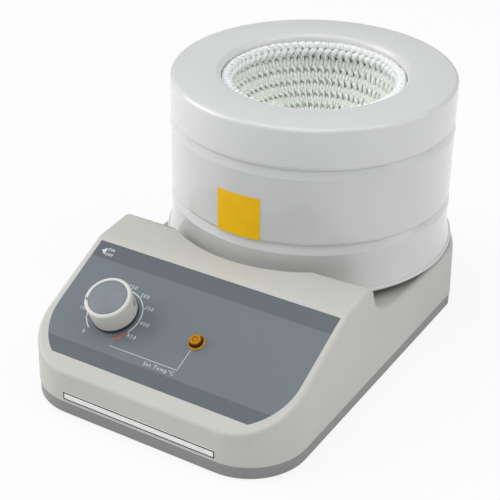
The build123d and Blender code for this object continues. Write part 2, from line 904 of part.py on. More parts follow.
def make_sensor():
    tip = flask_z - fabric_outer - sensor_gap
    low = can_z - sensor_fitting_height
    probe = disc(sensor_radius, low, tip)
    probe += hexagon(sensor_fitting_flats, low, can_z)
    probe += disc(sensor_lead_radius, terminal_top, low)
    return drum_place(probe)


def make_heater_leads():
    first = radians(coil_first_angle)
    out = coil_sphere * sin(first)
    high = flask_z - coil_sphere * cos(first) - coil_wire_radius
    leads = []
    for side in (-1, 1):
        points = [
            (side * out, drum_y, high),
            (side * out, drum_y, can_z - heater_lead_run),
            (side * heater_lead_spread, drum_y, shield_z + shield_sheet + heater_lead_run),
            (side * heater_lead_spread, drum_y, terminal_top),
        ]
        leads.append(lead(points, heater_lead_radius, heater_lead_bend))
    return group(leads)


def make_grommet():
    low = deck_under_z - grommet_flange
    high = deck_z + grommet_flange
    points = [
        (grommet_bore, low),
        (grommet_flange_radius, low),
        (grommet_flange_radius, deck_under_z),
        (grommet_groove_radius, deck_under_z),
        (grommet_groove_radius, deck_z),
        (grommet_flange_radius, deck_z),
        (grommet_flange_radius, high),
        (grommet_bore, high),
    ]
    rounds = [((grommet_bore, high), 0.7), ((grommet_flange_radius, high), 0.7)]
    return drum_place(turned(section(points, rounds)))


# ------------------------------------------------------------ knob and dial
def make_knob():
    top = knob_top
    wall = knob_radius - knob_wall
    skin = 2.4
    body = disc(knob_radius, knob_gap, top)
    body = fillet(body.edges().group_by(Axis.Z)[-1], knob_edge_round)
    body -= disc(knob_cap_radius, top - knob_cap_depth, top + 1)
    under = top - knob_cap_depth - skin
    body -= tube(wall, knob_hub_radius, knob_gap - 1, under)
    body -= disc(knob_hub_radius, knob_gap - 1, knob_hub_start)
    body -= disc(shaft_radius + screw_clearance, 0, shaft_top + 0.3)
    tab = Pos(0, knob_radius, top) * Box(pointer_width, knob_radius, 2 * knob_cap_depth)
    body -= tab
    slot = SlotOverall(access_hole_length, 2 * access_hole_radius, rotation=90)
    slot = Plane.XZ * Pos(0, access_hole_height) * slot
    body -= extrude(slot, knob_radius + 1) - disc(knob_hub_radius + 1, 0, top)
    bore = Plane.XZ * Pos(0, access_hole_height) * Circle(set_screw_radius + screw_clearance)
    body -= extrude(bore, knob_radius)
    parts["knob_body"] = knob_frame * body

    seat = top - knob_cap_depth
    cap_radius = knob_cap_radius - knob_cap_clearance
    cap = disc(cap_radius, seat, seat + knob_cap_thickness)
    reach = knob_radius - knob_edge_round - 0.2
    pointer = Pos(0, reach / 2, seat + knob_cap_thickness / 2) * Box(
        pointer_width - 2 * knob_cap_clearance, reach, knob_cap_thickness
    )
    cap += pointer
    parts["knob_cap"] = knob_frame * cap

    screw = Plane.XZ * Pos(0, access_hole_height) * Circle(set_screw_radius)
    inner = shaft_radius + 0.05
    screw = extrude(screw, inner + set_screw_length) - disc(inner, 0, top)
    socket = Plane.XZ * Pos(0, access_hole_height) * RegularPolygon(0.75, 6, major_radius=False)
    socket = extrude(socket, 2 * knob_radius) - disc(inner + set_screw_length - 1.2, 0, top)
    parts["set_screw"] = knob_frame * (screw - socket)

    parts["pot_shaft"] = knob_frame * disc(shaft_radius, shaft_end, shaft_top)


def make_potentiometer():
    bore = disc(shaft_radius + shaft_clearance, shaft_end - 0.5, 20)
    back = -housing_wall - pot_gap
    body = disc(pot_radius, back - pot_depth, back)
    body += disc(bush_radius, back - 1, bush_top)
    body -= bore
    for index in (-1, 0, 1):
        size = pot_tab_size
        tab = Pos(index * pot_tab_pitch, pot_tab_root - pot_radius - size[2] / 2, back - pot_depth / 2)
        body += tab * Box(size[0], size[2], size[1])
    turn = Rot(0, 0, pointer_angle)
    parts["potentiometer"] = knob_frame * turn * body
    nut = hexagon(pot_nut_flats, washer_thickness, washer_thickness + pot_nut_height)
    nut += disc(washer_radius, 0, washer_thickness)
    nut -= disc(bush_radius + screw_clearance, -1, 20)
    parts["pot_nut"] = knob_frame * nut


def make_lamp():
    flange = lamp_flange_thickness
    points = [
        (0, -housing_wall),
        (lamp_barrel_radius, -housing_wall),
        (lamp_barrel_radius, 0),
        (lamp_flange_radius, 0),
        (lamp_flange_radius, flange),
        (lamp_dome_radius + 0.5, flange),
        (lamp_dome_radius, flange - 0.5),
        (lamp_dome_radius, lamp_dome_height),
        (0, lamp_dome_height),
    ]
    rounds = [
        ((lamp_flange_radius, flange), 0.8),
        ((lamp_dome_radius, lamp_dome_height), 1.6),
    ]
    parts["lamp_lens"] = lamp_frame * turned(section(points, rounds))
    high = -housing_wall - pot_gap
    holder = disc(lamp_holder_radius, high - 2.5, high)
    holder += disc(lamp_barrel_radius, high - lamp_holder_length, high)
    parts["lamp_holder"] = lamp_frame * holder
    pins = []
    for side in (-1, 1):
        low = high - lamp_holder_length
        pin = disc(lamp_pin_radius, low - lamp_pin_length, low)
        pins.append(lamp_frame * Pos(side * lamp_pin_spread, 0, 0) * pin)
    parts["lamp_pins"] = group(pins)


# ----------------------------------------------------------- rocker switch
def make_switch():
    bezel = extrude(RectangleRounded(switch_bezel[0], switch_bezel[1], 1.5), switch_bezel[2])
    bezel = chamfer(bezel.faces().sort_by(Axis.Z)[-1].edges(), 0.6)
    box = Pos(0, 0, -switch_box[2] / 2) * Box(*switch_box)
    well = (rocker_size[0] + 2 * rocker_side_gap, rocker_size[1] + 2 * rocker_side_gap)
    depth = switch_box[2] - 1.5
    frame = bezel + box
    frame -= Pos(0, 0, switch_bezel[2]) * Box(well[0], well[1], 2 * (switch_bezel[2] + depth))
    pin_line = Plane.XZ * Pos(0, rocker_pin_height) * Circle(rocker_pin_radius)
    pin = extrude(pin_line, switch_box[1] / 2 - 0.2, both=True)
    parts["switch_frame"] = switch_frame_place * (frame + pin)

    half = rocker_size[0] / 2
    root = rocker_root_length / 2
    points = [
        (-half, rocker_shoulder),
        (0, rocker_crown),
        (half, rocker_shoulder),
        (half, rocker_shoulder - 3.2),
        (root, rocker_root),
        (-root, rocker_root),
        (-half, rocker_shoulder - 3.2),
    ]
    rounds = [((0, rocker_crown), 20.0)]
    profile = Plane.XZ * section(points, rounds)
    rocker = extrude(profile, rocker_size[1] / 2, both=True)
    hole = Plane.XZ * Pos(0, rocker_pin_height)
    hole = hole * Circle(rocker_pin_radius + rocker_pin_clearance)
    rocker -= extrude(hole, rocker_size[1], both=True)
    swing = Pos(0, 0, rocker_pin_height) * Rot(0, rocker_swing, 0) * Pos(0, 0, -rocker_pin_height)
    parts["rocker"] = switch_frame_place * swing * rocker

    tabs = []
    for side in (-1, 1):
        size = switch_tab_size
        tab = Pos(side * switch_tab_pitch / 2, 0, -switch_box[2] - size[2] / 2)
        tabs.append(switch_frame_place * tab * Box(size[1], size[0], size[2]))
    parts["switch_tabs"] = group(tabs)


# ------------------------------------------------------------- power inlet
def inlet_pin_places():
    low = -inlet_pin_drop
    return ((0, inlet_pin_drop), (-inlet_pin_spread, low), (inlet_pin_spread, low))


def make_inlet():
    flange = extrude(RectangleRounded(*inlet_flange, inlet_corner), inlet_flange_thickness)
    body = extrude(RectangleRounded(*inlet_body, inlet_corner), -inlet_depth)
    inlet = flange + body
    cavity = RectangleRounded(inlet_cavity[0], inlet_cavity[1], inlet_corner - 1)
    deep = inlet_cavity[2]
    inlet -= Pos(0, 0, inlet_flange_thickness - deep) * extrude(cavity, deep + 1)
    for side in (-1, 1):
        hole = disc(inlet_screw_radius + screw_bore_clearance, -5, 5)
        inlet -= Pos(side * inlet_screw_pitch / 2, 0, 0) * hole
    pins = []
    for x, y in inlet_pin_places():
        high = inlet_flange_thickness - deep + inlet_pin[2]
        low = -inlet_depth - inlet_tab_length
        pin = Pos(x, y, low) * block((inlet_pin[0], inlet_pin[1], high - low))
        inlet -= pin
        pins.append(inlet_frame * pin)
    parts["inlet_body"] = inlet_frame * inlet
    parts["inlet_pins"] = group(pins)
    screws = []
    nuts = []
    high = inlet_flange_thickness
    for side in (-1, 1):
        place = Pos(side * inlet_screw_pitch / 2, 0, 0)
        screw = disc(inlet_screw_radius, high - inlet_screw_length, high)
        head = disc(inlet_screw_head_radius, high - inlet_screw_head_height / 2, high)
        screws.append(inlet_frame * place * (screw + head))
        inner = -housing_wall - pot_gap
        nut = hexagon(inlet_nut_flats, inner - inlet_nut_height, inner)
        nuts.append(inlet_frame * place * (nut - disc(inlet_screw_radius + 0.05, -20, 5)))
    for side, screw in zip((-1, 1), screws):
        sink = disc(inlet_screw_head_radius + 0.1, high - inlet_screw_head_height / 2 - 0.05, 9)
        sink = inlet_frame * Pos(side * inlet_screw_pitch / 2, 0, 0) * sink
        parts["inlet_body"] -= sink
    parts["inlet_screws"] = group(screws)
    parts["inlet_nuts"] = group(nuts)


# ------------------------------------------------------- inside of the base
def on_board(x, setback, shape):
    return Pos(x, front_y + board_setback + setback, board_top) * shape


def board_hole_places():
    places = []
    for side in (-1, 1):
        for end in (board_hole_inset, board_length - board_hole_inset):
            x = side * (board_width / 2 - board_hole_inset)
            places.append((x, front_y + board_setback + end))
    return places


def make_board():
    y = front_y + board_setback + board_length / 2
    board = Pos(0, y, board_z) * block((board_width, board_length, board_thickness))
    screws = []
    posts = []
    for x, hole_y in board_hole_places():
        place = Pos(x, hole_y, 0)
        board -= place * disc(board_screw_radius + screw_bore_clearance, 0, top_z)
        post = disc(standoff_radius, floor_z, board_z)
        bore_end = board_z - board_screw_length - board_screw_tip
        post -= disc(board_screw_radius + screw_clearance, bore_end, board_z + 1)
        posts.append(place * post)
        screw = disc(board_screw_radius, board_z - board_screw_length, board_top)
        screw += disc(board_screw_head_radius, board_top, board_top + board_screw_head_height)
        screws.append(place * screw)
    parts["control_board"] = board
    parts["board_standoffs"] = group(posts)
    parts["board_screws"] = group(screws)


def make_board_pieces():
    core = block(transformer_size)
    winding = Rot(0, 90, 0) * Cylinder(transformer_size[2] * 0.42, transformer_size[0] * 0.6)
    winding = Pos(0, 0, transformer_size[2] / 2) * winding
    core = core - Pos(0, 0, transformer_size[2] / 2) * Box(
        transformer_size[0] * 0.62, 2 * transformer_size[1], transformer_size[2] * 0.62
    )
    core += winding & block(transformer_size)
    parts["transformer"] = on_board(*transformer_place, core)
    relay = fillet(block(relay_size).edges().filter_by(Axis.Z), 1.0)
    parts["relay"] = on_board(*relay_place, relay)
    can = disc(capacitor_radius, 0, capacitor_height)
    parts["capacitor"] = on_board(*capacitor_place, fillet(can.edges(), 0.8))
    sink = block((sink_size[0], sink_fin, sink_size[2]))
    pitch = (sink_size[0] - sink_fin) / (sink_fin_count - 1)
    for index in range(sink_fin_count):
        x = -sink_size[0] / 2 + sink_fin / 2 + index * pitch
        sink += Pos(x, sink_size[1] / 2, 0) * block((sink_fin, sink_size[1], sink_size[2]))
    parts["heat_sink"] = on_board(*sink_place, sink)
    clips = []
    for side in (-1, 1):
        clip = block(fuse_clip)
        clip -= Pos(0, 0, fuse_clip[2] + 0.6) * Rot(0, 90, 0) * Cylinder(fuse_radius, 9)
        clips.append(on_board(fuse_place[0] + side * fuse_length * 0.38, fuse_place[1], clip))
    fuse = Pos(0, 0, fuse_clip[2] + 0.6) * Rot(0, 90, 0) * Cylinder(fuse_radius, fuse_length)
    parts["fuse_and_clips"] = group(clips + [on_board(*fuse_place, fuse)])
    front_place = connector_size[1] / 2 + board_gap()
    rear_place = board_length - front_place
    rows = [on_board(0, place, block(connector_size)) for place in (front_place, rear_place)]
    parts["board_connectors"] = group(rows)


def board_gap():
    """The connectors stand inside the row of board screws."""
    return board_hole_inset + board_screw_head_radius + 0.4


def make_terminal():
    parts["terminal_block"] = Pos(0, drum_y, floor_z) * block(terminal_size)


def make_wiring():
    rear_y = front_y + board_setback + board_length - board_gap()
    front_connector_y = front_y + board_setback + board_gap()
    wire_z = board_top + connector_size[2] - lead_drop
    inlet_end = drum_y + rear_flat_offset - inlet_depth - inlet_tab_length
    pin_z = inlet_z - inlet_pin_drop
    leads = []
    for side in (-1, 1):
        slant_end = inlet_end - lead_start - inlet_lead_slant
        points = [
            (side * inlet_pin_spread, inlet_end, pin_z),
            (side * inlet_pin_spread, inlet_end - lead_start, pin_z),
            (side * inlet_lead_spread, slant_end, wire_z),
            (side * inlet_lead_spread, rear_y, wire_z),
        ]
        leads.append(lead(points, lead_radius, lead_bend))
    parts["inlet_leads"] = group(leads)

    leads = []
    for side in (-1, 1):
        x = side * supply_lead_spread
        y = drum_y - terminal_size[1] / 2
        low = wire_z - lead_drop
        points = [
            (x, y, floor_z + supply_lead_rise),
            (x, y - lead_start, floor_z + supply_lead_rise),
            (x, rear_y + lead_finish, low),
            (x, rear_y, low),
        ]
        leads.append(lead(points, lead_radius, lead_bend))
    parts["heater_supply_leads"] = group(leads)

    leads = []
    tab_end = -switch_box[2] - switch_tab_size[2]
    for side in (-1, 1):
        tab = side * switch_tab_pitch / 2
        x = -switch_lead_spread - side * switch_lead_pitch / 2
        points = [
            (switch_frame_place * Pos(tab, 0, tab_end)).position,
            (switch_frame_place * Pos(tab, 0, tab_end - lead_start)).position,
            (x, front_connector_y - lead_finish, wire_z),
            (x, front_connector_y, wire_z),
        ]
        leads.append(lead(points, lead_radius, thin_lead_bend))
    parts["switch_leads"] = group(leads)

    leads = []
    turn = knob_frame * Rot(0, 0, pointer_angle)
    tab_middle = -housing_wall - pot_gap - pot_depth / 2
    tab_low = -pot_radius - pot_tab_size[2] + pot_tab_root
    for index in (-1, 0, 1):
        tab = index * pot_tab_pitch
        bend = (turn * Pos(tab, tab_low - lead_start / 2, tab_middle)).position
        x = index * knob_lead_pitch - knob_lead_middle
        points = [
            (turn * Pos(tab, tab_low, tab_middle)).position,
            bend,
            (knob_x + tab, bend.Y + lead_start / 2, wire_z),
            (x, front_connector_y - lead_finish, wire_z),
            (x, front_connector_y, wire_z),
        ]
        leads.append(lead(points, thin_lead_radius, thin_lead_bend))
    pin_end = -housing_wall - pot_gap - lamp_holder_length - lamp_pin_length
    for side in (-1, 1):
        x = lamp_x + lamp_lead_offset + side * lamp_pin_spread
        points = [
            (lamp_frame * Pos(side * lamp_pin_spread, 0, pin_end)).position,
            (lamp_frame * Pos(side * lamp_pin_spread, 0, pin_end - lead_start)).position,
            (x, front_connector_y - lead_finish, wire_z),
            (x, front_connector_y, wire_z),
        ]
        leads.append(lead(points, thin_lead_radius, thin_lead_bend))
    parts["panel_leads"] = group(leads)


parts["base_housing"] = make_housing()
parts["base_tray"] = make_tray()
make_feet()
make_base_screws()
make_labels()
film = panel_frame * Pos(0, 0, -panel_film) * extrude(panel_outline(0), panel_film)
film -= knob_frame * disc(bush_radius + bush_hole_clearance, -5, 5)
film -= lamp_frame * disc(lamp_barrel_radius + lamp_hole_clearance, -5, 5)
parts["control_panel"] = film
parts["top_cover"] = make_top_cover()
parts["barrel_shell"] = make_barrel()
parts["drum_skirt"] = make_skirt()
parts["heating_bowl"] = make_bowl()
parts["heater_coil"] = make_coil()
parts["insulation"] = make_wool()
parts["insulation_can"] = make_can()
parts["clamp_ring"] = make_clamp_ring()
parts["can_posts"] = make_posts()
parts["drum_floor"] = make_floor_pan()
parts["heat_shield"] = make_shield()
parts["drum_spacers"] = make_spacers()
make_drum_bolts()
make_tie_rods()
parts["temperature_probe"] = make_sensor()
parts["heater_leads"] = make_heater_leads()
parts["deck_grommet"] = make_grommet()
make_knob()
make_potentiometer()
make_lamp()
make_switch()
make_inlet()
make_board()
make_board_pieces()
make_terminal()
make_wiring()

for name, shape in parts.items():
    export_step(shape, "parts/" + name + ".step")
print(len(parts), "nodes")
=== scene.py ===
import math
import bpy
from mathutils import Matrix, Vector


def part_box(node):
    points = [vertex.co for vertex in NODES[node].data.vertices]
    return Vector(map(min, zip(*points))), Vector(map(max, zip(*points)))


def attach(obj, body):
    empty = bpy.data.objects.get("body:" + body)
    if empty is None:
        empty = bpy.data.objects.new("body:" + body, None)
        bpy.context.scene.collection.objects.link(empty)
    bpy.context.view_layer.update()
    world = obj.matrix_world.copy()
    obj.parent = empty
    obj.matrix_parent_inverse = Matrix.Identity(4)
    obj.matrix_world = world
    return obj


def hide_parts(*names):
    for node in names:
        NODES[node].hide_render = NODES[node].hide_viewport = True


bl_info = {
    "name": "Heating Mantle",
    "version": (1, 0, 0),
    "blender": (4, 5, 0),
    "location": "View3D > Sidebar > Mantle",
    "description": "Dresses a bench heating mantle: enamelled drum, knitted bowl, panel and stage",
    "category": "Object",
}

import bpy
from mathutils import Matrix, Vector

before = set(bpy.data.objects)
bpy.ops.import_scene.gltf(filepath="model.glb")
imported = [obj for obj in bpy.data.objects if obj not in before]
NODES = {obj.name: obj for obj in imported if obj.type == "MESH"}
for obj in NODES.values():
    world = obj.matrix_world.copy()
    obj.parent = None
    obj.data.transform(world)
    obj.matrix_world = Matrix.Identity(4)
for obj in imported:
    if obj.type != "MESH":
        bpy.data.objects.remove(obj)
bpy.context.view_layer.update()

MM = 0.001
FLAT = math.radians(35)
QUARTER = math.radians(90)


# ------------------------------------------------------------- where things are
def middle(low, high):
    """Half way between two heights, lengths or corners."""
    return (low + high) / 2


def span(node):
    """A CAD node's lowest and highest corners, as two vectors in metres."""
    low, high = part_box(node)
    return Vector(low), Vector(high)


def placed(across, along, out, origin):
    """The place whose three axes and origin these are."""
    return Matrix([*zip(across, along, out, origin), (0, 0, 0, 1)])


COVER_LOW, COVER_HIGH = span("top_cover")
DRUM_Y = middle(COVER_LOW.y, COVER_HIGH.y)
DRUM_TOP = COVER_HIGH.z
FILM_LOW = span("control_panel")[0]
PANEL_SLOPE = math.radians(25)
UPHILL = Vector((0, math.cos(PANEL_SLOPE), math.sin(PANEL_SLOPE)))
OUT_OF_PANEL = Vector((0, -math.sin(PANEL_SLOPE), math.cos(PANEL_SLOPE)))
FILM_THICKNESS = 0.5 * MM
# The film's lower edge, in the middle of the panel and on its face.
PANEL_ORIGIN = Vector((0, FILM_LOW.y, FILM_LOW.z + FILM_THICKNESS * math.cos(PANEL_SLOPE)))
PANEL_PLACE = placed((1, 0, 0), UPHILL, OUT_OF_PANEL, PANEL_ORIGIN)
INK = 0.05 * MM
HOUSING_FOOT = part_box("base_housing")[0][2]
HOUSING_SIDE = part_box("base_housing")[1][0]
HOUSING_LEAN = math.radians(1.4)


def axis_on_panel(node):
    """Where a round part's axis meets the panel, from the middle of a node about that axis."""
    low, high = span(node)
    local = PANEL_PLACE.inverted() @ middle(low, high)
    return Vector((local.x, local.y, 0))


POINTER_ANGLE = math.radians(115)
KNOB_CENTRE = axis_on_panel("pot_shaft")
KNOB_PLACE = (
    PANEL_PLACE @ Matrix.Translation(KNOB_CENTRE) @ Matrix.Rotation(POINTER_ANGLE, 4, "Z")
)
LAMP_PLACE = PANEL_PLACE @ Matrix.Translation(axis_on_panel("lamp_pins"))

# The drum's sheet metal, as radii in millimetres.
DRUM_RADIUS = 100
COVER_RADIUS = 99.9
SHELL_INSIDE = 98.6
TUCK_INSIDE = 97.9
NECK_OUTSIDE = 97.6
NECK_INSIDE = 96.8
COVER_MOUTH = 64.6
MOUTH_LIP_OUTSIDE = 65.8
RIM_RADIUS = 103.7
RIM_INSIDE = 101.0
RIM_BEAD = 1.55

# The knitted bowl, in millimetres: its yarn's middle follows a sphere up to WALL_FOOT, and an
# almost upright wall from there.
BOWL_SPHERE = 68.1
BOWL_CENTRE = DRUM_TOP / MM + 9.0
WALL_FOOT = 162.0
WALL_BEND = math.acos((BOWL_CENTRE - WALL_FOOT) / BOWL_SPHERE)
STITCH_RISE = 9.4
STITCH_WIDTH = 5.9


# ------------------------------------------------------------- materials
def linear(colour):
    """An sRGB hex value such as #C9C8C2 as the linear colour a shader takes."""
    if not isinstance(colour, str):
        return tuple(colour)
    parts = [int(colour[at : at + 2], 16) / 255 for at in (1, 3, 5)]
    light = [c / 12.92 if c <= 0.04045 else ((c + 0.055) / 1.055) ** 2.4 for c in parts]
    return (*light, 1.0)


def add(tree, kind, inputs=None, stops=(), **settings):
    """Adds a node. An input takes a value, or a (node, output) pair to link; a colour ramp
    takes its (position, colour) stops."""
    new = tree.nodes.new("ShaderNode" + kind)
    for key, value in settings.items():
        setattr(new, key, value)
    for key, value in (inputs or {}).items():
        if isinstance(value, tuple) and isinstance(value[0], bpy.types.Node):
            tree.links.new(value[0].outputs[value[1]], new.inputs[key])
        else:
            new.inputs[key].default_value = value
    if stops:
        ramp = new.color_ramp.elements
        first, last = ramp
        first.position, first.color = stops[0][0], linear(stops[0][1])
        last.position, last.color = stops[-1][0], linear(stops[-1][1])
        for position, colour in stops[1:-1]:
            ramp.new(position).color = linear(colour)
    return new


def cleared(block):
    """The empty node tree of a new material or world."""
    block.use_nodes = True
    block.node_tree.nodes.clear()
    return block.node_tree


def blank_material(name):
    """A new material, its node tree, and the object's own coordinates in that tree."""
    material = bpy.data.materials.new(name)
    tree = cleared(material)
    return material, tree, (add(tree, "TexCoord"), "Object")


def surfaced(material, colour, relief, shader):
    """Gives a material its Principled surface. Its colour is a node's output, or a ramp's
    stops over one. Its relief is a node's output with a bump's depth and strength. The rest
    are the shader's own inputs."""
    tree = material.node_tree
    node, output, *stops = colour
    if stops:
        node, output = add(tree, "ValToRGB", {"Fac": (node, output)}, stops=stops), "Color"
    inputs = {"Base Color": (node, output), **shader}
    if relief:
        node, output, depth, strength = relief
        bump = {"Height": (node, output), "Distance": depth, "Strength": strength}
        inputs["Normal"] = (add(tree, "Bump", bump), "Normal")
    bsdf = add(tree, "BsdfPrincipled", inputs)
    add(tree, "OutputMaterial", {"Surface": (bsdf, "BSDF")})
    return material


def dimmed(colour, share):
    """A colour with its light scaled by a share."""
    return (*(c * share for c in linear(colour)[:3]), 1.0)


def moulded_abs(name, colour, shade, grain=0.9 * MM, depth=0.012 * MM, roughness=0.46):
    """Injection-moulded ABS: a spark-eroded mould leaves a fine even grain that breaks up
    the gloss, and the colour drifts slightly where the melt flowed."""
    material, tree, place = blank_material(name)
    flow = add(
        tree, "TexNoise", {"Vector": place, "Scale": 1 / (70 * MM), "Detail": 2.0, "Roughness": 0.4}
    )
    eroded = add(
        tree, "TexNoise", {"Vector": place, "Scale": 1 / grain, "Detail": 3.0, "Roughness": 0.55}
    )
    gloss = add(
        tree,
        "MapRange",
        {"Value": (eroded, "Fac"), "To Min": roughness - 0.06, "To Max": roughness + 0.08},
    )
    return surfaced(
        material,
        (flow, "Fac", (0.3, shade), (0.7, colour)),
        (eroded, "Fac", depth, 0.6),
        {"Roughness": (gloss, "Result"), "IOR": 1.53, "Specular IOR Level": 0.5},
    )


def baked_enamel(name, colour, shade):
    """Enamel sprayed and baked on spun sheet: smooth and half gloss, with a very shallow
    orange peel about 3 mm across and a little dust in the film."""
    material, tree, place = blank_material(name)
    cloud = add(tree, "TexNoise", {"Vector": place, "Scale": 1 / (90 * MM), "Detail": 1.5})
    peel = add(
        tree, "TexNoise", {"Vector": place, "Scale": 1 / (3 * MM), "Detail": 1.0, "Roughness": 0.3}
    )
    dust = add(tree, "TexNoise", {"Vector": place, "Scale": 1 / (0.6 * MM), "Detail": 2.0})
    gloss = add(tree, "MapRange", {"Value": (dust, "Fac"), "To Min": 0.3, "To Max": 0.44})
    return surfaced(
        material,
        (cloud, "Fac", (0.32, shade), (0.68, colour)),
        (peel, "Fac", 0.03 * MM, 0.35),
        {
            "Roughness": (gloss, "Result"),
            "IOR": 1.5,
            "Coat Weight": 0.8,
            "Coat Roughness": 0.05,
            "Specular IOR Level": 0.45,
        },
    )


def printed_film(name, ground, band, sizes):
    """Screen-printed polyester film: a flat mid grey with a darker band along its upper and
    lower edges, and the faint velvet grain of the film's face."""
    material, tree, place = blank_material(name)
    climb = add(tree, "VectorMath", {0: place, 1: tuple(UPHILL)}, operation="DOT_PRODUCT")
    start = PANEL_ORIGIN.dot(UPHILL)
    upper, lower = (
        add(tree, "Math", {0: (climb, "Value"), 1: start + edge}, operation=side)
        for edge, side in (
            (sizes.upper_band_from, "GREATER_THAN"),
            (sizes.lower_band_to, "LESS_THAN"),
        )
    )
    banded = add(tree, "Math", {0: (upper, "Value"), 1: (lower, "Value")}, operation="MAXIMUM")
    velvet = add(tree, "TexNoise", {"Vector": place, "Scale": 1 / (0.8 * MM), "Detail": 3.0})
    # Of the Mix node's sockets, 6 and 7 are its two colours, and 2 is the colour it gives.
    colour = add(
        tree,
        "Mix",
        {0: (banded, "Value"), 6: linear(ground), 7: linear(band)},
        data_type="RGBA",
    )
    worn = add(tree, "MapRange", {"Value": (velvet, "Fac"), "To Min": 0.96, "To Max": 1.04})
    shaded = add(
        tree, "VectorMath", {0: (colour, 2), "Scale": (worn, "Result")}, operation="SCALE"
    )
    gloss = add(tree, "MapRange", {"Value": (velvet, "Fac"), "To Min": 0.34, "To Max": 0.5})
    return surfaced(
        material,
        (shaded, "Vector"),
        (velvet, "Fac", 0.01 * MM, 0.5),
        {"Roughness": (gloss, "Result"), "IOR": 1.58, "Specular IOR Level": 0.4},
    )


def label_film(name, colour, shade, roughness):
    """Self-adhesive vinyl: even printed colour, a soft sheen, and slight waves where it was
    smoothed down by hand."""
    material, tree, place = blank_material(name)
    wave = add(tree, "TexNoise", {"Vector": place, "Scale": 1 / (9 * MM), "Detail": 2.0})
    return surfaced(
        material,
        (wave, "Fac", (0.3, shade), (0.7, colour)),
        (wave, "Fac", 0.05 * MM, 0.3),
        {"IOR": 1.5, "Roughness": roughness, "Specular IOR Level": 0.25},
    )


def screen_ink(name, colour):
    """Screen-printed ink: a matt layer, thin enough for the film's grain to show through."""
    material, tree, place = blank_material(name)
    mesh = add(tree, "TexNoise", {"Vector": place, "Scale": 1 / (0.4 * MM), "Detail": 2.0})
    stops = (0.35, dimmed(colour, 0.86)), (0.6, colour)
    return surfaced(material, (mesh, "Fac", *stops), None, {"IOR": 1.5, "Roughness": 0.55})


def glass_yarn(name, rim, painted_deep_shade, high, low):
    """Knitted glass-fibre yarn: white at the rim, painted darker to a pale green grey deeper
    down as painted shade in the bowl, with the twist of the yarn as fine slanting lines."""
    material, tree, place = blank_material(name)
    split = add(tree, "SeparateXYZ", {"Vector": place})
    drift = add(tree, "TexNoise", {"Vector": place, "Scale": 1 / (16 * MM), "Detail": 3.0})
    # The edge between the two colours wanders up and down by 5 mm each way.
    wander = add(
        tree, "Math", {0: (drift, "Fac"), 1: 10 * MM, 2: (split, "Z")}, operation="MULTIPLY_ADD"
    )
    depth = add(
        tree,
        "MapRange",
        {"Value": (wander, "Value"), "From Min": low + 5 * MM, "From Max": high + 5 * MM},
    )
    # The ramp runs from the painted shade deep in the bowl up to the white of the rim.
    colour = add(tree, "ValToRGB", {"Fac": (depth, "Result")}, stops=[(0.0, painted_deep_shade), (1.0, rim)])
    twist = add(
        tree,
        "TexWave",
        {"Vector": (place[0], "UV"), "Scale": 9.0, "Distortion": 1.2, "Detail Scale": 2.0},
        wave_type="BANDS",
        bands_direction="DIAGONAL",
    )
    fibre = add(tree, "MapRange", {"Value": (twist, "Fac"), "To Min": 0.9, "To Max": 1.0})
    shaded = add(
        tree, "VectorMath", {0: (colour, "Color"), "Scale": (fibre, "Result")}, operation="SCALE"
    )
    return surfaced(
        material,
        (shaded, "Vector"),
        (twist, "Fac", 0.12 * MM, 0.5),
        {"IOR": 1.45, "Roughness": 0.62, "Sheen Weight": 0.25, "Sheen Roughness": 0.4},
    )


def loose_fibre(name, colour, shade, size):
    """Matted fibre, as in mineral wool or the felt behind the knit: soft, lumpy, no gloss."""
    material, tree, place = blank_material(name)
    matt = add(
        tree, "TexNoise", {"Vector": place, "Scale": 1 / size, "Detail": 6.0, "Distortion": 1.5}
    )
    return surfaced(
        material,
        (matt, "Fac", (0.3, shade), (0.7, colour)),
        (matt, "Fac", 0.3 * MM, 1.0),
        {"Roughness": 0.95, "Sheen Weight": 0.2},
    )


def worked_metal(name, colour, roughness, direction, length=14 * MM, width=0.5 * MM):
    """Bare or plated metal: rolled, drawn or turned, so that fine lines run one way through
    its reflections, with a few duller handled patches."""
    material, tree, place = blank_material(name)
    scale = [1 / width] * 3
    scale["XYZ".index(direction)] = 1 / length
    stretch = add(tree, "Mapping", {"Vector": place, "Scale": tuple(scale)})
    lines = add(tree, "TexNoise", {"Vector": (stretch, "Vector"), "Scale": 1.0, "Detail": 4.0})
    handled = add(tree, "TexNoise", {"Vector": place, "Scale": 1 / (22 * MM), "Detail": 3.0})
    both = add(tree, "Math", {0: (lines, "Fac"), 1: (handled, "Fac")}, operation="MULTIPLY")
    gloss = add(
        tree,
        "MapRange",
        {
            "Value": (both, "Value"),
            "From Min": 0.1,
            "From Max": 0.4,
            "To Min": roughness - 0.08,
            "To Max": roughness + 0.1,
        },
    )
    return surfaced(
        material,
        (both, "Value", (0.12, dimmed(colour, 0.8)), (0.35, colour)),
        (lines, "Fac", 0.01 * MM, 0.4),
        {"Roughness": (gloss, "Result"), "Metallic": 1.0},
    )


def moulded_rubber(name, colour):
    """Moulded nitrile rubber: dark and matt, with bloom and dust in its fine texture."""
    material, tree, place = blank_material(name)
    bloom = add(tree, "TexNoise", {"Vector": place, "Scale": 1 / (4 * MM), "Detail": 6.0})
    dusty = (*(c + 0.02 for c in linear(colour)[:3]), 1.0)
    return surfaced(
        material,
        (bloom, "Fac", (0.4, colour), (0.75, dusty)),
        (bloom, "Fac", 0.03 * MM, 0.5),
        {"IOR": 1.52, "Roughness": 0.8, "Specular IOR Level": 0.3},
    )


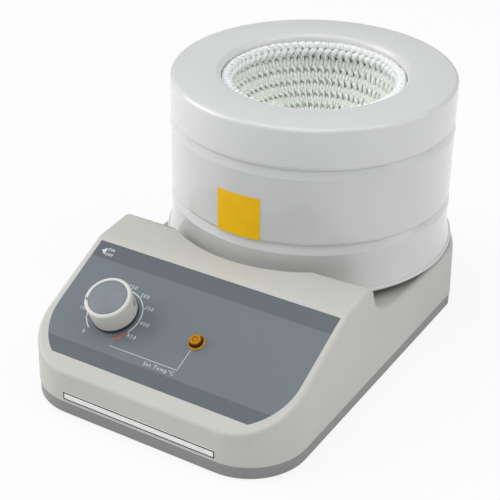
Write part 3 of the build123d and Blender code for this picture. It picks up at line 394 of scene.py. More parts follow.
def varnished_laminations(name, colour, edge):
    """A transformer's core: steel sheets about 0.5 mm thick, stacked and dipped in varnish.
    They are drawn thicker than they are, so that they show."""
    material, tree, place = blank_material(name)
    stack = add(
        tree,
        "TexWave",
        {"Vector": place, "Scale": 1 / (1.6 * MM) / 6.28, "Distortion": 0.3},
        wave_type="BANDS",
        bands_direction="Y",
    )
    return surfaced(
        material,
        (stack, "Fac", (0.35, edge), (0.65, colour)),
        (stack, "Fac", 0.06 * MM, 0.6),
        {"Metallic": 0.3, "Roughness": 0.4},
    )


def circuit_laminate(name, resist, copper):
    """A circuit board: green solder resist over copper tracks, which show as a paler pattern
    of straight runs under the lacquer."""
    material, tree, place = blank_material(name)
    runs = add(
        tree,
        "TexBrick",
        {
            "Vector": place,
            "Color1": linear(resist),
            "Color2": linear(copper),
            "Mortar": linear(resist),
            "Scale": 1 / (9 * MM),
            "Mortar Size": 0.05,
            "Bias": -0.5,
            "Brick Width": 1.4,
            "Row Height": 0.35,
        },
    )
    return surfaced(
        material,
        (runs, "Color"),
        (runs, "Fac", 0.035 * MM, 0.4),
        {"IOR": 1.5, "Roughness": 0.32},
    )


def fired_ceramic(name, colour, speck):
    """Unglazed steatite: chalky, slightly speckled, with no gloss at all."""
    material, tree, place = blank_material(name)
    grit = add(tree, "TexVoronoi", {"Vector": place, "Scale": 1 / (0.9 * MM)})
    return surfaced(
        material,
        (grit, "Distance", (0.05, speck), (0.25, colour)),
        (grit, "Distance", 0.04 * MM, 0.4),
        {"IOR": 1.55, "Roughness": 0.75},
    )


def braided_sleeve(name, colour, shade):
    """Braided glass-fibre sleeving on heat-proof leads: a fine diamond braid, off white."""
    material, tree, place = blank_material(name)
    braid = add(
        tree,
        "TexChecker",
        {
            "Vector": place,
            "Color1": linear(colour),
            "Color2": linear(shade),
            "Scale": 1 / (0.7 * MM),
        },
    )
    return surfaced(
        material,
        (braid, "Color"),
        (braid, "Fac", 0.06 * MM, 0.5),
        {"Roughness": 0.7, "Sheen Weight": 0.2},
    )


def clear_amber(name, stops, reach):
    """An amber polycarbonate lens: glossy and clear. Its colour changes in rings from the middle
    outwards: the darker rings are painted shade and the lightest a painted highlight."""
    material, tree, place = blank_material(name)
    centre, axis = tuple(LAMP_PLACE.translation), tuple(OUT_OF_PANEL)
    offset = add(tree, "VectorMath", {0: place, 1: centre}, operation="SUBTRACT")
    across = add(
        tree, "VectorMath", {0: (offset, "Vector"), 1: axis}, operation="CROSS_PRODUCT"
    )
    radius = add(tree, "VectorMath", {0: (across, "Vector")}, operation="LENGTH")
    share = add(tree, "Math", {0: (radius, "Value"), 1: 1 / reach}, operation="MULTIPLY")
    prisms = add(tree, "TexVoronoi", {"Vector": place, "Scale": 1 / (1.1 * MM)})
    return surfaced(
        material,
        (share, "Value", *stops),
        (prisms, "Distance", 0.06 * MM, 0.3),
        {
            "IOR": 1.58,
            "Roughness": 0.2,
            "Transmission Weight": 0.05,
            "Specular IOR Level": 0.12,
            "Coat Weight": 0.12,
            "Coat Roughness": 0.04,
        },
    )


# ------------------------------------------------------------- shaping by hand
def fresh():
    """Object mode with nothing selected, so that an operator acts only on what it is given."""
    if bpy.context.object and bpy.context.object.mode != "OBJECT":
        bpy.ops.object.mode_set(mode="OBJECT")
    bpy.ops.object.select_all(action="DESELECT")


def pick(*pieces):
    """Selects these pieces, with the last one active."""
    fresh()
    for piece in pieces:
        piece.select_set(True)
    bpy.context.view_layer.objects.active = pieces[-1]
    return pieces[-1]


def settle(piece, place=None):
    """Moves a piece to its place, and puts the place into its mesh."""
    pick(piece)
    if place is not None:
        piece.matrix_world = place
    bpy.ops.object.transform_apply(location=True, rotation=True, scale=True)
    return piece


def finish_piece(piece, name, body, material, replaces=(), angle=FLAT):
    """Names a piece, smooths it, gives it its material, and hangs it on its body."""
    pick(piece)
    piece.name = name
    piece.data.name = name
    if angle:
        bpy.ops.object.shade_smooth_by_angle(angle=angle)
    piece.data.materials.clear()
    piece.data.materials.append(material)
    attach(piece, body)
    if replaces:
        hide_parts(*replaces)
    return piece


def modify(piece, kind, **settings):
    """Adds a modifier with its settings and applies it."""
    pick(piece)
    modifier = piece.modifiers.new(kind.title(), kind)
    for key, value in settings.items():
        setattr(modifier, key, value)
    bpy.ops.object.modifier_apply(modifier=modifier.name)
    return piece


def cut(piece, *cutters, operation="DIFFERENCE"):
    """Cuts other pieces out of one, or joins them to it, and removes them."""
    for cutter in cutters:
        modify(piece, "BOOLEAN", operation=operation, object=cutter, solver="EXACT")
        bpy.data.objects.remove(cutter, do_unlink=True)
    return piece


def joined(*pieces):
    """Several meshes as one."""
    pick(*pieces)
    bpy.ops.object.join()
    return bpy.context.object


def softened(outline, steps=6):
    """An outline of (radius, height) or (radius, height, rounding) with its corners rounded."""
    points = []
    count = len(outline)
    for index, corner in enumerate(outline):
        here = Vector(corner[:2])
        if len(corner) < 3:
            points.append(here)
            continue
        before = (Vector(outline[index - 1][:2]) - here).normalized()
        after = (Vector(outline[(index + 1) % count][:2]) - here).normalized()
        half = before.angle(after) / 2
        reach = corner[2] / math.tan(half)
        centre = here + (before + after).normalized() * (corner[2] / math.sin(half))
        start = here + before * reach - centre
        end = here + after * reach - centre
        sweep = start.angle_signed(end)
        for step in range(steps + 1):
            turn = -sweep * step / steps
            points.append(
                centre
                + Vector(
                    (
                        start.x * math.cos(turn) - start.y * math.sin(turn),
                        start.x * math.sin(turn) + start.y * math.cos(turn),
                    )
                )
            )
    return points


def spun(points, centre, steps, angle=math.tau):
    """Extrudes one point along a line, given in metres, and spins it about an upright axis."""
    fresh()
    bpy.ops.mesh.primitive_plane_add(size=MM, location=points[0])
    bpy.ops.object.mode_set(mode="EDIT")
    bpy.ops.mesh.merge(type="CENTER")
    for last, point in zip(points, points[1:]):
        step = Vector(point) - Vector(last)
        bpy.ops.mesh.extrude_vertices_move(TRANSFORM_OT_translate={"value": step})
    bpy.ops.mesh.select_all(action="SELECT")
    bpy.ops.mesh.remove_doubles(threshold=0.002 * MM)
    bpy.ops.mesh.spin(steps=steps, angle=angle, center=(*centre, 0), axis=(0, 0, 1))
    bpy.ops.mesh.select_all(action="SELECT")
    bpy.ops.mesh.remove_doubles(threshold=0.002 * MM)
    bpy.ops.mesh.normals_make_consistent(inside=False)
    bpy.ops.object.mode_set(mode="OBJECT")
    return settle(bpy.context.object)


def turned(outline, centre=(0, 0), steps=192, closed=True):
    """Spins an outline of radii and heights, in millimetres, about an upright axis."""
    line = softened(outline)
    if closed:
        line.append(line[0])
    points = [(centre[0] + radius * MM, centre[1], height * MM) for radius, height in line]
    return spun(points, centre, steps)


def block(size, centre, bevel=0.0):
    """A box, with bevelled edges where a bevel is given, in millimetres."""
    fresh()
    bpy.ops.mesh.primitive_cube_add(size=1, location=[c * MM for c in centre])
    piece = bpy.context.object
    piece.scale = [s * MM for s in size]
    settle(piece)
    if bevel:
        bpy.ops.object.mode_set(mode="EDIT")
        bpy.ops.mesh.select_all(action="SELECT")
        bpy.ops.mesh.bevel(offset=bevel * MM, segments=3, affect="EDGES")
        bpy.ops.object.mode_set(mode="OBJECT")
    return piece


def rod(radius, length, sides):
    """An upright round bar standing on the origin, in millimetres."""
    fresh()
    bpy.ops.mesh.primitive_cylinder_add(
        vertices=sides, radius=radius * MM, depth=length * MM, location=(0, 0, length / 2 * MM)
    )
    return settle(bpy.context.object)


def copied_node(name):
    """A merged copy of a CAD node's mesh, to be finished as a piece of its own."""
    piece = bpy.data.objects.new(name + "_finish", NODES[name].data.copy())
    bpy.context.scene.collection.objects.link(piece)
    pick(piece)
    bpy.ops.object.mode_set(mode="EDIT")
    bpy.ops.mesh.select_all(action="SELECT")
    bpy.ops.mesh.remove_doubles(threshold=0.001 * MM)
    bpy.ops.mesh.dissolve_limited(angle_limit=math.radians(0.3))
    bpy.ops.object.mode_set(mode="OBJECT")
    return piece


def printed(piece, name, material, place=PANEL_PLACE, body="mantle"):
    """Lays a flat printed shape on the face that carries it."""
    settle(piece, place)
    return finish_piece(piece, name, body, material, angle=None)


def words(text, height, centre, spacing=1.0, weight=0.0):
    """A word or number as a thin layer of ink, centred on a point of the panel. Its strokes
    are made heavier by a share of its height."""
    fresh()
    bpy.ops.object.text_add()
    piece = bpy.context.object
    piece.data.body = text
    piece.data.size = height / 0.72
    piece.data.align_x = "CENTER"
    piece.data.align_y = "CENTER"
    piece.data.extrude = INK
    piece.data.offset = weight * height
    piece.data.space_character = spacing
    piece.data.resolution_u = 3
    bpy.ops.object.convert(target="MESH")
    piece = bpy.context.object
    return settle(piece, Matrix.Translation((centre[0], centre[1], INK * 0.5)))


def stroke(points, width):
    """A printed line of even width through points of the panel."""
    fresh()
    pieces = []
    for start, end in zip(points, points[1:]):
        along = Vector(end) - Vector(start)
        bpy.ops.mesh.primitive_plane_add(size=1)
        centre = middle(Vector(start), Vector(end))
        turn = Matrix.Rotation(math.atan2(along.y, along.x), 4, "Z")
        scale = Matrix.Diagonal((along.length + width, width, 1, 1))
        place = Matrix.Translation((centre.x, centre.y, INK)) @ turn @ scale
        pieces.append(settle(bpy.context.object, place))
    return modify(joined(*pieces), "SOLIDIFY", thickness=INK * 1.5, offset=-1.0)


def printed_arc(centre, radius, width, start, end):
    """A printed arc about a point, between two clockwise angles from uphill, in degrees: a
    line across the arc at its start, spun to its end."""
    turn = math.radians(start)
    away = Vector((math.sin(turn), math.cos(turn), 0))
    inner = Vector((centre[0], centre[1], INK)) + away * (radius - width / 2)
    steps = max(4, int(abs(end - start) / 3))
    piece = spun([inner, inner + away * width], centre[:2], steps, math.radians(end - start))
    return modify(piece, "SOLIDIFY", thickness=INK * 1.5, offset=0.0)


# ------------------------------------------------------------- what a user can change
def colour_property(name, about, hex_value):
    """A colour that a user can change, from its sRGB hex value."""
    return bpy.props.FloatVectorProperty(
        name=name,
        description=about,
        size=4,
        subtype="COLOR",
        min=0.0,
        max=1.0,
        default=linear(hex_value),
    )


def length_property(name, about, millimetres):
    """A length that a user can change, from its value in millimetres."""
    return bpy.props.FloatProperty(
        name=name,
        description=about,
        subtype="DISTANCE",
        unit="LENGTH",
        default=millimetres * MM,
    )


class MantleFinish(bpy.types.PropertyGroup):
    """Colours of the mantle's own surfaces."""

    housing: colour_property("Housing", "Moulded upper case of the base", "#C7C6BF")
    housing_shade: colour_property("Housing, thick areas", "Where melt cooled slowly", "#C1C0B9")
    tray: colour_property("Tray", "Moulded underside of the base", "#8E8E8D")
    cover: colour_property("Top cover", "Enamel of the drum's lid", "#DBDBD9")
    drum: colour_property("Drum", "Enamel of the drum's walls", "#D7D7D5")
    film: colour_property("Panel film", "Ground of the control panel", "#6A7379")
    film_band: colour_property("Panel bands", "Darker bands of the control panel", "#586066")
    ink: colour_property("Ink", "Numbers, scale and words", "#DCDEDE")
    marker: colour_property("Marker ink", "The hot end of the scale", "#D45E20")
    knob: colour_property("Knob", "Knob's moulded shell", "#D9D8D2")
    knob_cap: colour_property("Knob cap", "Disc in the knob's face", "#848B8F")
    lens: colour_property("Lamp lens", "Amber indicator", "#BC7A00")
    # The deep yarn colour is darker than the rim's white: painted shade down in the bowl.
    yarn_rim: colour_property("Yarn, rim", "Fresh glass yarn at the rim", "#FFFFFF")
    yarn_deep_painted_shade: colour_property("Yarn, deep", "Glass yarn down in the bowl", "#F6FBF2")
    # The lining's darker grey green is painted shade in the gaps between stitches.
    felt: colour_property("Felt", "Lining behind the knit", "#9CA694")
    yellow_label: colour_property("Drum label", "Blank label on the drum", "#FBC500")
    white_label: colour_property("Strip label", "Blank strip on the base's front", "#FAFAF8")


class MantleSizes(bpy.types.PropertyGroup):
    """Sizes of what is printed, knitted and turned, in metres."""

    upper_band_from: length_property("Upper band from", "Up the slope from the film's foot", 77.4)
    lower_band_to: length_property("Lower band to", "Up the slope from the film's foot", 11.0)
    scale_radius: length_property("Scale radius", "Printed arc around the knob", 19.4)
    figure_height: length_property("Figure height", "Height of the dial's numbers", 2.8)
    yarn_thickness: length_property("Yarn thickness", "Across one leg of a stitch", 5.0)
    row_height: length_property("Row height", "One row of stitches, up the wall", 9.4)
    wales: bpy.props.IntProperty(
        name="Wales", description="Columns of stitches round the rim", default=68, min=12
    )


# ------------------------------------------------------------- operators
# The middle of the mantle, which every lamp of the stage looks at.
LAMPS_AIM = Vector((0, 0, 90 * MM))


def choices(context):
    """The colours and the sizes as the user has set them."""
    return context.scene.mantle_finish, context.scene.mantle_sizes


def seen_by(tree, *rays):
    """Whether any of these kinds of ray has come, as a share of 0 or 1 to link."""
    path = add(tree, "LightPath")
    first, *others = [(path, ray) for ray in rays]
    for other in others:
        first = (add(tree, "Math", {0: first, 1: other}, operation="MAXIMUM"), "Value")
    return first


class MANTLE_OT_stage(bpy.types.Operator):
    """Sets the plain pale floor, the soft lights and the camera"""

    bl_idname = "mantle.stage"
    bl_label = "Stage"

    def execute(self, context):
        fresh()
        bpy.ops.mesh.primitive_grid_add(x_subdivisions=6, y_subdivisions=6, size=6)
        floor = bpy.context.object
        floor.name = "floor"
        material = bpy.data.materials.new("paper_backdrop")
        tree = cleared(material)
        # A white paper sweep: plain matt paper that keeps the soft shadow under the object,
        # and reads as white where the camera, a gloss or a lens sees it directly.
        paper = add(tree, "BsdfDiffuse", {"Color": linear("#F2F2F2"), "Roughness": 0.6})
        glow = add(tree, "Emission", {"Color": (1, 1, 1, 1), "Strength": 1.0})
        seen = seen_by(tree, "Is Camera Ray", "Is Glossy Ray", "Is Transmission Ray")
        share = add(tree, "Math", {0: seen, 1: 0.85}, operation="MULTIPLY")
        mixed = add(
            tree, "MixShader", {0: (share, "Value"), 1: (paper, "BSDF"), 2: (glow, "Emission")}
        )
        add(tree, "OutputMaterial", {"Surface": (mixed, "Shader")})
        floor.data.materials.append(material)

        world = bpy.data.worlds.new("soft_room")
        tree = cleared(world)
        room = add(tree, "Background", {"Color": (0.93, 0.96, 1.0, 1), "Strength": 0.4})
        white = add(tree, "Background", {"Color": (1, 1, 1, 1), "Strength": 1.0})
        seen = seen_by(tree, "Is Camera Ray", "Is Transmission Ray")
        mixed = add(
            tree, "MixShader", {0: seen, 1: (room, "Background"), 2: (white, "Background")}
        )
        add(tree, "OutputWorld", {"Surface": (mixed, "Shader")})
        context.scene.world = world

        for name, place, size, power in (
            ("left_softbox", (-1.55, -0.6, 1.0), (1.4, 1.4), 19.5),
            ("right_softbox", (1.65, 0.6, 0.8), (1.2, 1.2), 5.0),
            ("right_high_softbox", (1.0, 0.1, 1.45), (0.6, 0.6), 3.2),
            ("top_softbox", (-0.1, -0.05, 1.8), (1.2, 1.2), 8.0),
            ("front_fill", (0.4, -1.7, 0.4), (1.2, 0.8), 0.4),
            ("upper_strip", (0.62, -1.06, 1.68), (0.32, 0.04), 1.6),
            ("lower_strip", (0.66, -1.14, 1.42), (0.32, 0.04), 1.6),
        ):
            light = bpy.data.lights.new(name, "AREA")
            light.shape = "RECTANGLE"
            light.size, light.size_y = size
            light.energy = power
            lamp = bpy.data.objects.new(name, light)
            aim = (Vector(place) - LAMPS_AIM).to_track_quat("Z", "Y")
            lamp.matrix_world = Matrix.Translation(place) @ aim.to_matrix().to_4x4()
            context.scene.collection.objects.link(lamp)

        # A long lens, held above the mantle to the right of its front, and looking down.
        lens = bpy.data.cameras.new("camera")
        lens.lens = 96.55
        lens.sensor_width = 36.0
        lens.shift_x = 0.0034
        lens.shift_y = 0.0634
        lens.clip_start = 0.02
        camera = bpy.data.objects.new("camera", lens)
        right = Vector((0.8529, 0.5220, 0.0074))
        up = Vector((-0.2773, 0.4409, 0.8536))
        back = right.cross(up).normalized()
        up = back.cross(right).normalized()
        camera.matrix_world = placed(right, up, back, (412.1 * MM, -708.04 * MM, 536.8 * MM))
        context.scene.collection.objects.link(camera)
        context.scene.camera = camera
        context.scene.view_settings.view_transform = "Standard"
        return {"FINISHED"}


class MANTLE_OT_base(bpy.types.Operator):
    """Finishes the moulded housing and tray of the base"""

    bl_idname = "mantle.base"
    bl_label = "Base"

    def execute(self, context):
        finish = context.scene.mantle_finish
        housing = moulded_abs("moulded_abs_housing", finish.housing, finish.housing_shade)
        tray = moulded_abs("moulded_abs_tray", finish.tray, "#878786")
        for node, material, slot in (
            ("base_housing", housing, "housing_plastic"),
            ("base_tray", tray, "tray_plastic"),
        ):
            piece = copied_node(node)
            finish_piece(
                piece, node + "_moulding", "mantle", material, [node], math.radians(30)
            )
            modify(piece, "WEIGHTED_NORMAL", keep_sharp=True, weight=100, thresh=0.0001)
        return {"FINISHED"}


def tucked(radius, edge, depth, height):
    """The lower edge of a shell, drawn in over its neighbour, as outline corners from the
    edge up to the wall."""
    turns = [math.radians(60 * step / 8) for step in range(9)]
    full = math.sin(turns[-1])
    return [
        (
            radius - 2 * depth * (1 - math.cos(turn)),
            edge + height * (1 - math.sin(turn) / full),
        )
        for turn in turns[::-1]
    ]


def shouldered(radius, edge, depth):
    """The upper edge of a shell, from its wall up a crowned shoulder to the neck that the
    shell above sits over."""
    return [
        (radius, edge - 8.4),
        (radius + 0.4, edge - 6.0, 1.2),
        (radius - 0.2, edge - 4.0, 2.0),
        (radius - depth - 0.15, edge - 0.12),
        (NECK_OUTSIDE, edge - 0.12),
        (NECK_OUTSIDE, edge + 8.7),
        (NECK_INSIDE, edge + 8.7),
    ]


class MANTLE_OT_drum(bpy.types.Operator):
    """Spins the drum's cover, barrel and skirt, with their seams and rolled rim"""

    bl_idname = "mantle.drum"
    bl_label = "Drum"

    def execute(self, context):
        finish = context.scene.mantle_finish
        cover = baked_enamel("baked_enamel_cover", finish.cover, "#D8D8D6")
        wall = baked_enamel("baked_enamel_drum", finish.drum, "#D3D3D1")
        centre = (0, DRUM_Y)
        top = DRUM_TOP / MM
        seam = COVER_LOW.z / MM
        lid = turned(
            tucked(COVER_RADIUS, seam, 1.4, 3.6)
            + [
                (COVER_RADIUS, top, 3.4),
                (COVER_MOUTH, top, 4.0),
                (COVER_MOUTH, top - 11.5, 0.3),
                (MOUTH_LIP_OUTSIDE, top - 11.5, 0.3),
                (MOUTH_LIP_OUTSIDE, top - 1.2, 2.8),
                (SHELL_INSIDE, top - 1.2, 2.2),
                (SHELL_INSIDE, seam + 3.4),
                (TUCK_INSIDE, seam),
            ],
            centre,
        )
        finish_piece(lid, "spun_cover", "mantle", cover, ["top_cover"])

        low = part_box("barrel_shell")[0][2] / MM
        barrel = turned(
            tucked(DRUM_RADIUS, low, 1.7, 3.4)
            + shouldered(DRUM_RADIUS, seam, 1.45)
            + [
                (NECK_INSIDE, seam - 8.0, 0.4),
                (SHELL_INSIDE, seam - 9.0, 0.4),
                (SHELL_INSIDE, low + 3.4),
                (TUCK_INSIDE, low),
            ],
            centre,
        )
        finish_piece(barrel, "spun_barrel", "mantle", wall, ["barrel_shell"])

        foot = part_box("drum_skirt")[0][2] / MM
        rim = [math.radians(turn) for turn in range(-90, 76, 15)]
        outline = [
            (
                RIM_RADIUS - RIM_BEAD + RIM_BEAD * math.cos(turn),
                foot + RIM_BEAD + RIM_BEAD * math.sin(turn),
            )
            for turn in rim
        ]
        flare_foot = foot + 2 * RIM_BEAD + 0.1
        for step in range(13):
            share = step / 12
            outline.append((DRUM_RADIUS + 2.3 * (1 - share) ** 2, flare_foot + 15.0 * share))
        outline += shouldered(DRUM_RADIUS, low, 1.75)
        outline += [
            (NECK_INSIDE, low - 8.0, 0.4),
            (SHELL_INSIDE, low - 9.0, 0.4),
            (SHELL_INSIDE, foot + 18.0, 8.0),
            (RIM_INSIDE, foot + 4.0, 1.0),
            (RIM_INSIDE, foot, 0.2),
        ]
        skirt = turned(outline, centre)
        finish_piece(skirt, "spun_skirt", "mantle", wall, ["drum_skirt"])
        return {"FINISHED"}


class MANTLE_OT_bowl(bpy.types.Operator):
    """Knits the heating bowl, stitch by stitch, over a felt lining"""

    bl_idname = "mantle.bowl"
    bl_label = "Knitted bowl"

    def execute(self, context):
        finish, sizes = choices(context)
        # The crest of the rolled edge stands 5 mm down in the cover's mouth.
        top = DRUM_TOP / MM - 5.0
        # Below the crest the yarn is painted darker, down to its deep colour: painted shade in the
        # bowl.
        yarn = glass_yarn(
            "knitted_glass_yarn", finish.yarn_rim, finish.yarn_deep_painted_shade, (top - 9) * MM, (top - 21) * MM
        )
        # The lining is real, but its darker grey green paints the shade seen through the gaps
        # between stitches.
        felt = loose_fibre("needled_glass_felt_painted_shade", finish.felt, "#8E9986", 2.5 * MM)
        lining = []
        arc = [math.radians(70.0 * step / 24) for step in range(25)]
        for path in (BOWL_SPHERE + 2.1, BOWL_SPHERE + 1.5):
            side = [(path * math.sin(turn), BOWL_CENTRE - path * math.cos(turn)) for turn in arc]
            lining += side if not lining else side[::-1]
        back = turned(lining, (0, DRUM_Y), 96, closed=False)
        finish_piece(back, "felt_lining", "mantle", felt)

        # One stitch, up the wall of the bowl: two legs side by side out of the row below,
        # drawn together at their ends, and the head of the loop slanting down over them.
        half = sizes.yarn_thickness / 2
        leg = (
            (-0.7, -1.2, -1.8, 0.55),
            (-1.1, 0.5, -0.5, 0.82),
            (-1.6, 2.9, 0.7, 1.06),
            (-1.5, 5.6, 0.8, 1.06),
            (-1.0, 8.0, -0.3, 0.78),
            (-0.5, 9.6, -1.7, 0.5),
        )
        stitch = joined(
            self.strand(leg, 0.62 * half),
            self.strand([(-x, y, z, share) for x, y, z, share in leg], 0.62 * half),
            self.strand(
                (
                    (-2.1, 9.0, -1.4, 0.8),
                    (-2.1, 10.7, 0.8, 1.0),
                    (-0.7, 10.6, 2.5, 1.15),
                    (0.9, 9.0, 2.9, 1.15),
                    (2.0, 7.2, 1.2, 1.0),
                    (2.0, 5.9, -1.4, 0.8),
                ),
                0.54 * half,
            ),
        )
        rise = sizes.row_height
        rows = []
        head = self.wall_length(top - 0.7)
        while head - rise > -2 * MM:
            place, reach = self.wall(head - rise / 2)
            girth = math.tau * max(reach, 5 * MM)
            count = min(sizes.wales, max(6, round(girth / (4.3 * MM))))
            spread = girth / count / (STITCH_WIDTH * MM)
            shape = Matrix.Diagonal(
                (spread, rise / (STITCH_RISE * MM), min(1.0, 0.4 + 0.6 * spread), 1)
            )
            place = place @ Matrix.Translation((0, -rise / 2, 0)) @ shape
            # Each row starts a little round from the last, so that stitches don't line up.
            rows.append(self.ring(stitch, place, count, 0.15 * (len(rows) % 3)))
            head -= rise
        # The edge: the same yarn wrapped slantwise over itself, once for each column.
        wrap = self.strand(
            (
                (-2.4, -2.9, -1.8, 0.6),
                (-2.5, -1.9, 0.6, 0.95),
                (-1.3, 0.3, 1.9, 1.1),
                (0.6, 1.5, 1.2, 1.1),
                (2.2, 1.2, -0.2, 0.95),
                (2.9, -0.4, -1.8, 0.6),
            ),
            half * 0.8,
        )
        for degrees, reach, drop, turn in ((48, 61.8, 2.5, 0.0), (66, 60.5, 5.9, 0.5)):
            lean = math.radians(degrees)
            place = placed(
                (0, -1, 0),
                (math.cos(lean), 0, math.sin(lean)),
                (-math.sin(lean), 0, math.cos(lean)),
                (reach * MM, DRUM_Y, (top - drop) * MM),
            )
            rows.append(self.ring(wrap, place, sizes.wales, turn))
        bpy.data.objects.remove(wrap, do_unlink=True)
        bpy.data.objects.remove(stitch, do_unlink=True)
        knit = joined(*rows)
        uneven = bpy.data.textures.new("hand_of_the_knitter", "CLOUDS")
        uneven.noise_scale = 9 * MM
        modify(
            knit,
            "DISPLACE",
            texture=uneven,
            texture_coords="GLOBAL",
            direction="RGB_TO_XYZ",
            strength=1.3 * MM,
            mid_level=0.5,
        )
        finish_piece(
            knit, "knitted_bowl", "mantle", yarn, ["heating_bowl"], math.radians(180)
        )
        return {"FINISHED"}

    def wall_length(self, height):
        """How far up the bowl's wall, from its lowest point, a height in millimetres is."""
        return (BOWL_SPHERE * WALL_BEND + height - WALL_FOOT) * MM

    def wall(self, length):
        """The place on the wall at a length from its lowest point, and its radius."""

        def point(along):
            """Radius and height on the wall, in millimetres, at a length in metres."""
            along /= MM
            above = along - BOWL_SPHERE * WALL_BEND
            if above < 0:
                turn = along / BOWL_SPHERE
                return Vector(
                    (BOWL_SPHERE * math.sin(turn), BOWL_CENTRE - BOWL_SPHERE * math.cos(turn))
                )
            return Vector((BOWL_SPHERE * math.sin(WALL_BEND) - 0.006 * above**2, WALL_FOOT + above))

        here = point(length) * MM
        up = (point(length + MM) - point(length - MM)).normalized()
        place = placed((0, -1, 0), (up.x, 0, up.y), (-up.y, 0, up.x), (here.x, DRUM_Y, here.y))
        return place, here.x

    def strand(self, points, radius):
        """A short length of yarn along a smooth line, as a closed mesh."""
        fresh()
        bpy.ops.curve.primitive_nurbs_path_add(radius=1.0)
        curve = bpy.context.object
        data = curve.data
        spline = data.splines[0]
        spline.points.add(max(0, len(points) - len(spline.points)))
        for at, (x, y, z, share) in enumerate(points):
            spline.points[at].co = (x * MM, y * MM, z * MM, 1.0)
            spline.points[at].radius = share
        spline.order_u = 4
        spline.use_endpoint_u = True
        spline.resolution_u = 2
        data.bevel_depth = radius
        data.bevel_resolution = 1
        data.use_fill_caps = True
        pick(curve)
        bpy.ops.object.convert(target="MESH")
        return bpy.context.object

    def ring(self, stitch, place, count, turn):
        """A copy of one stitch set in its place and arrayed about the drum's axis, started
        a share of a stitch round."""
        piece = stitch.copy()
        piece.data = stitch.data.copy()
        bpy.context.scene.collection.objects.link(piece)
        axis = Matrix.Translation((0, DRUM_Y, 0))
        first = Matrix.Rotation(turn * math.tau / count, 4, "Z")
        settle(piece, axis @ first @ axis.inverted() @ place)
        guide = bpy.data.objects.new("array_guide", None)
        bpy.context.scene.collection.objects.link(guide)
        guide.matrix_world = axis @ Matrix.Rotation(math.tau / count, 4, "Z") @ axis.inverted()
        bpy.context.view_layer.update()
        modify(
            piece,
            "ARRAY",
            count=count,
            use_relative_offset=False,
            use_object_offset=True,
            offset_object=guide,
        )
        bpy.data.objects.remove(guide, do_unlink=True)
        return piece


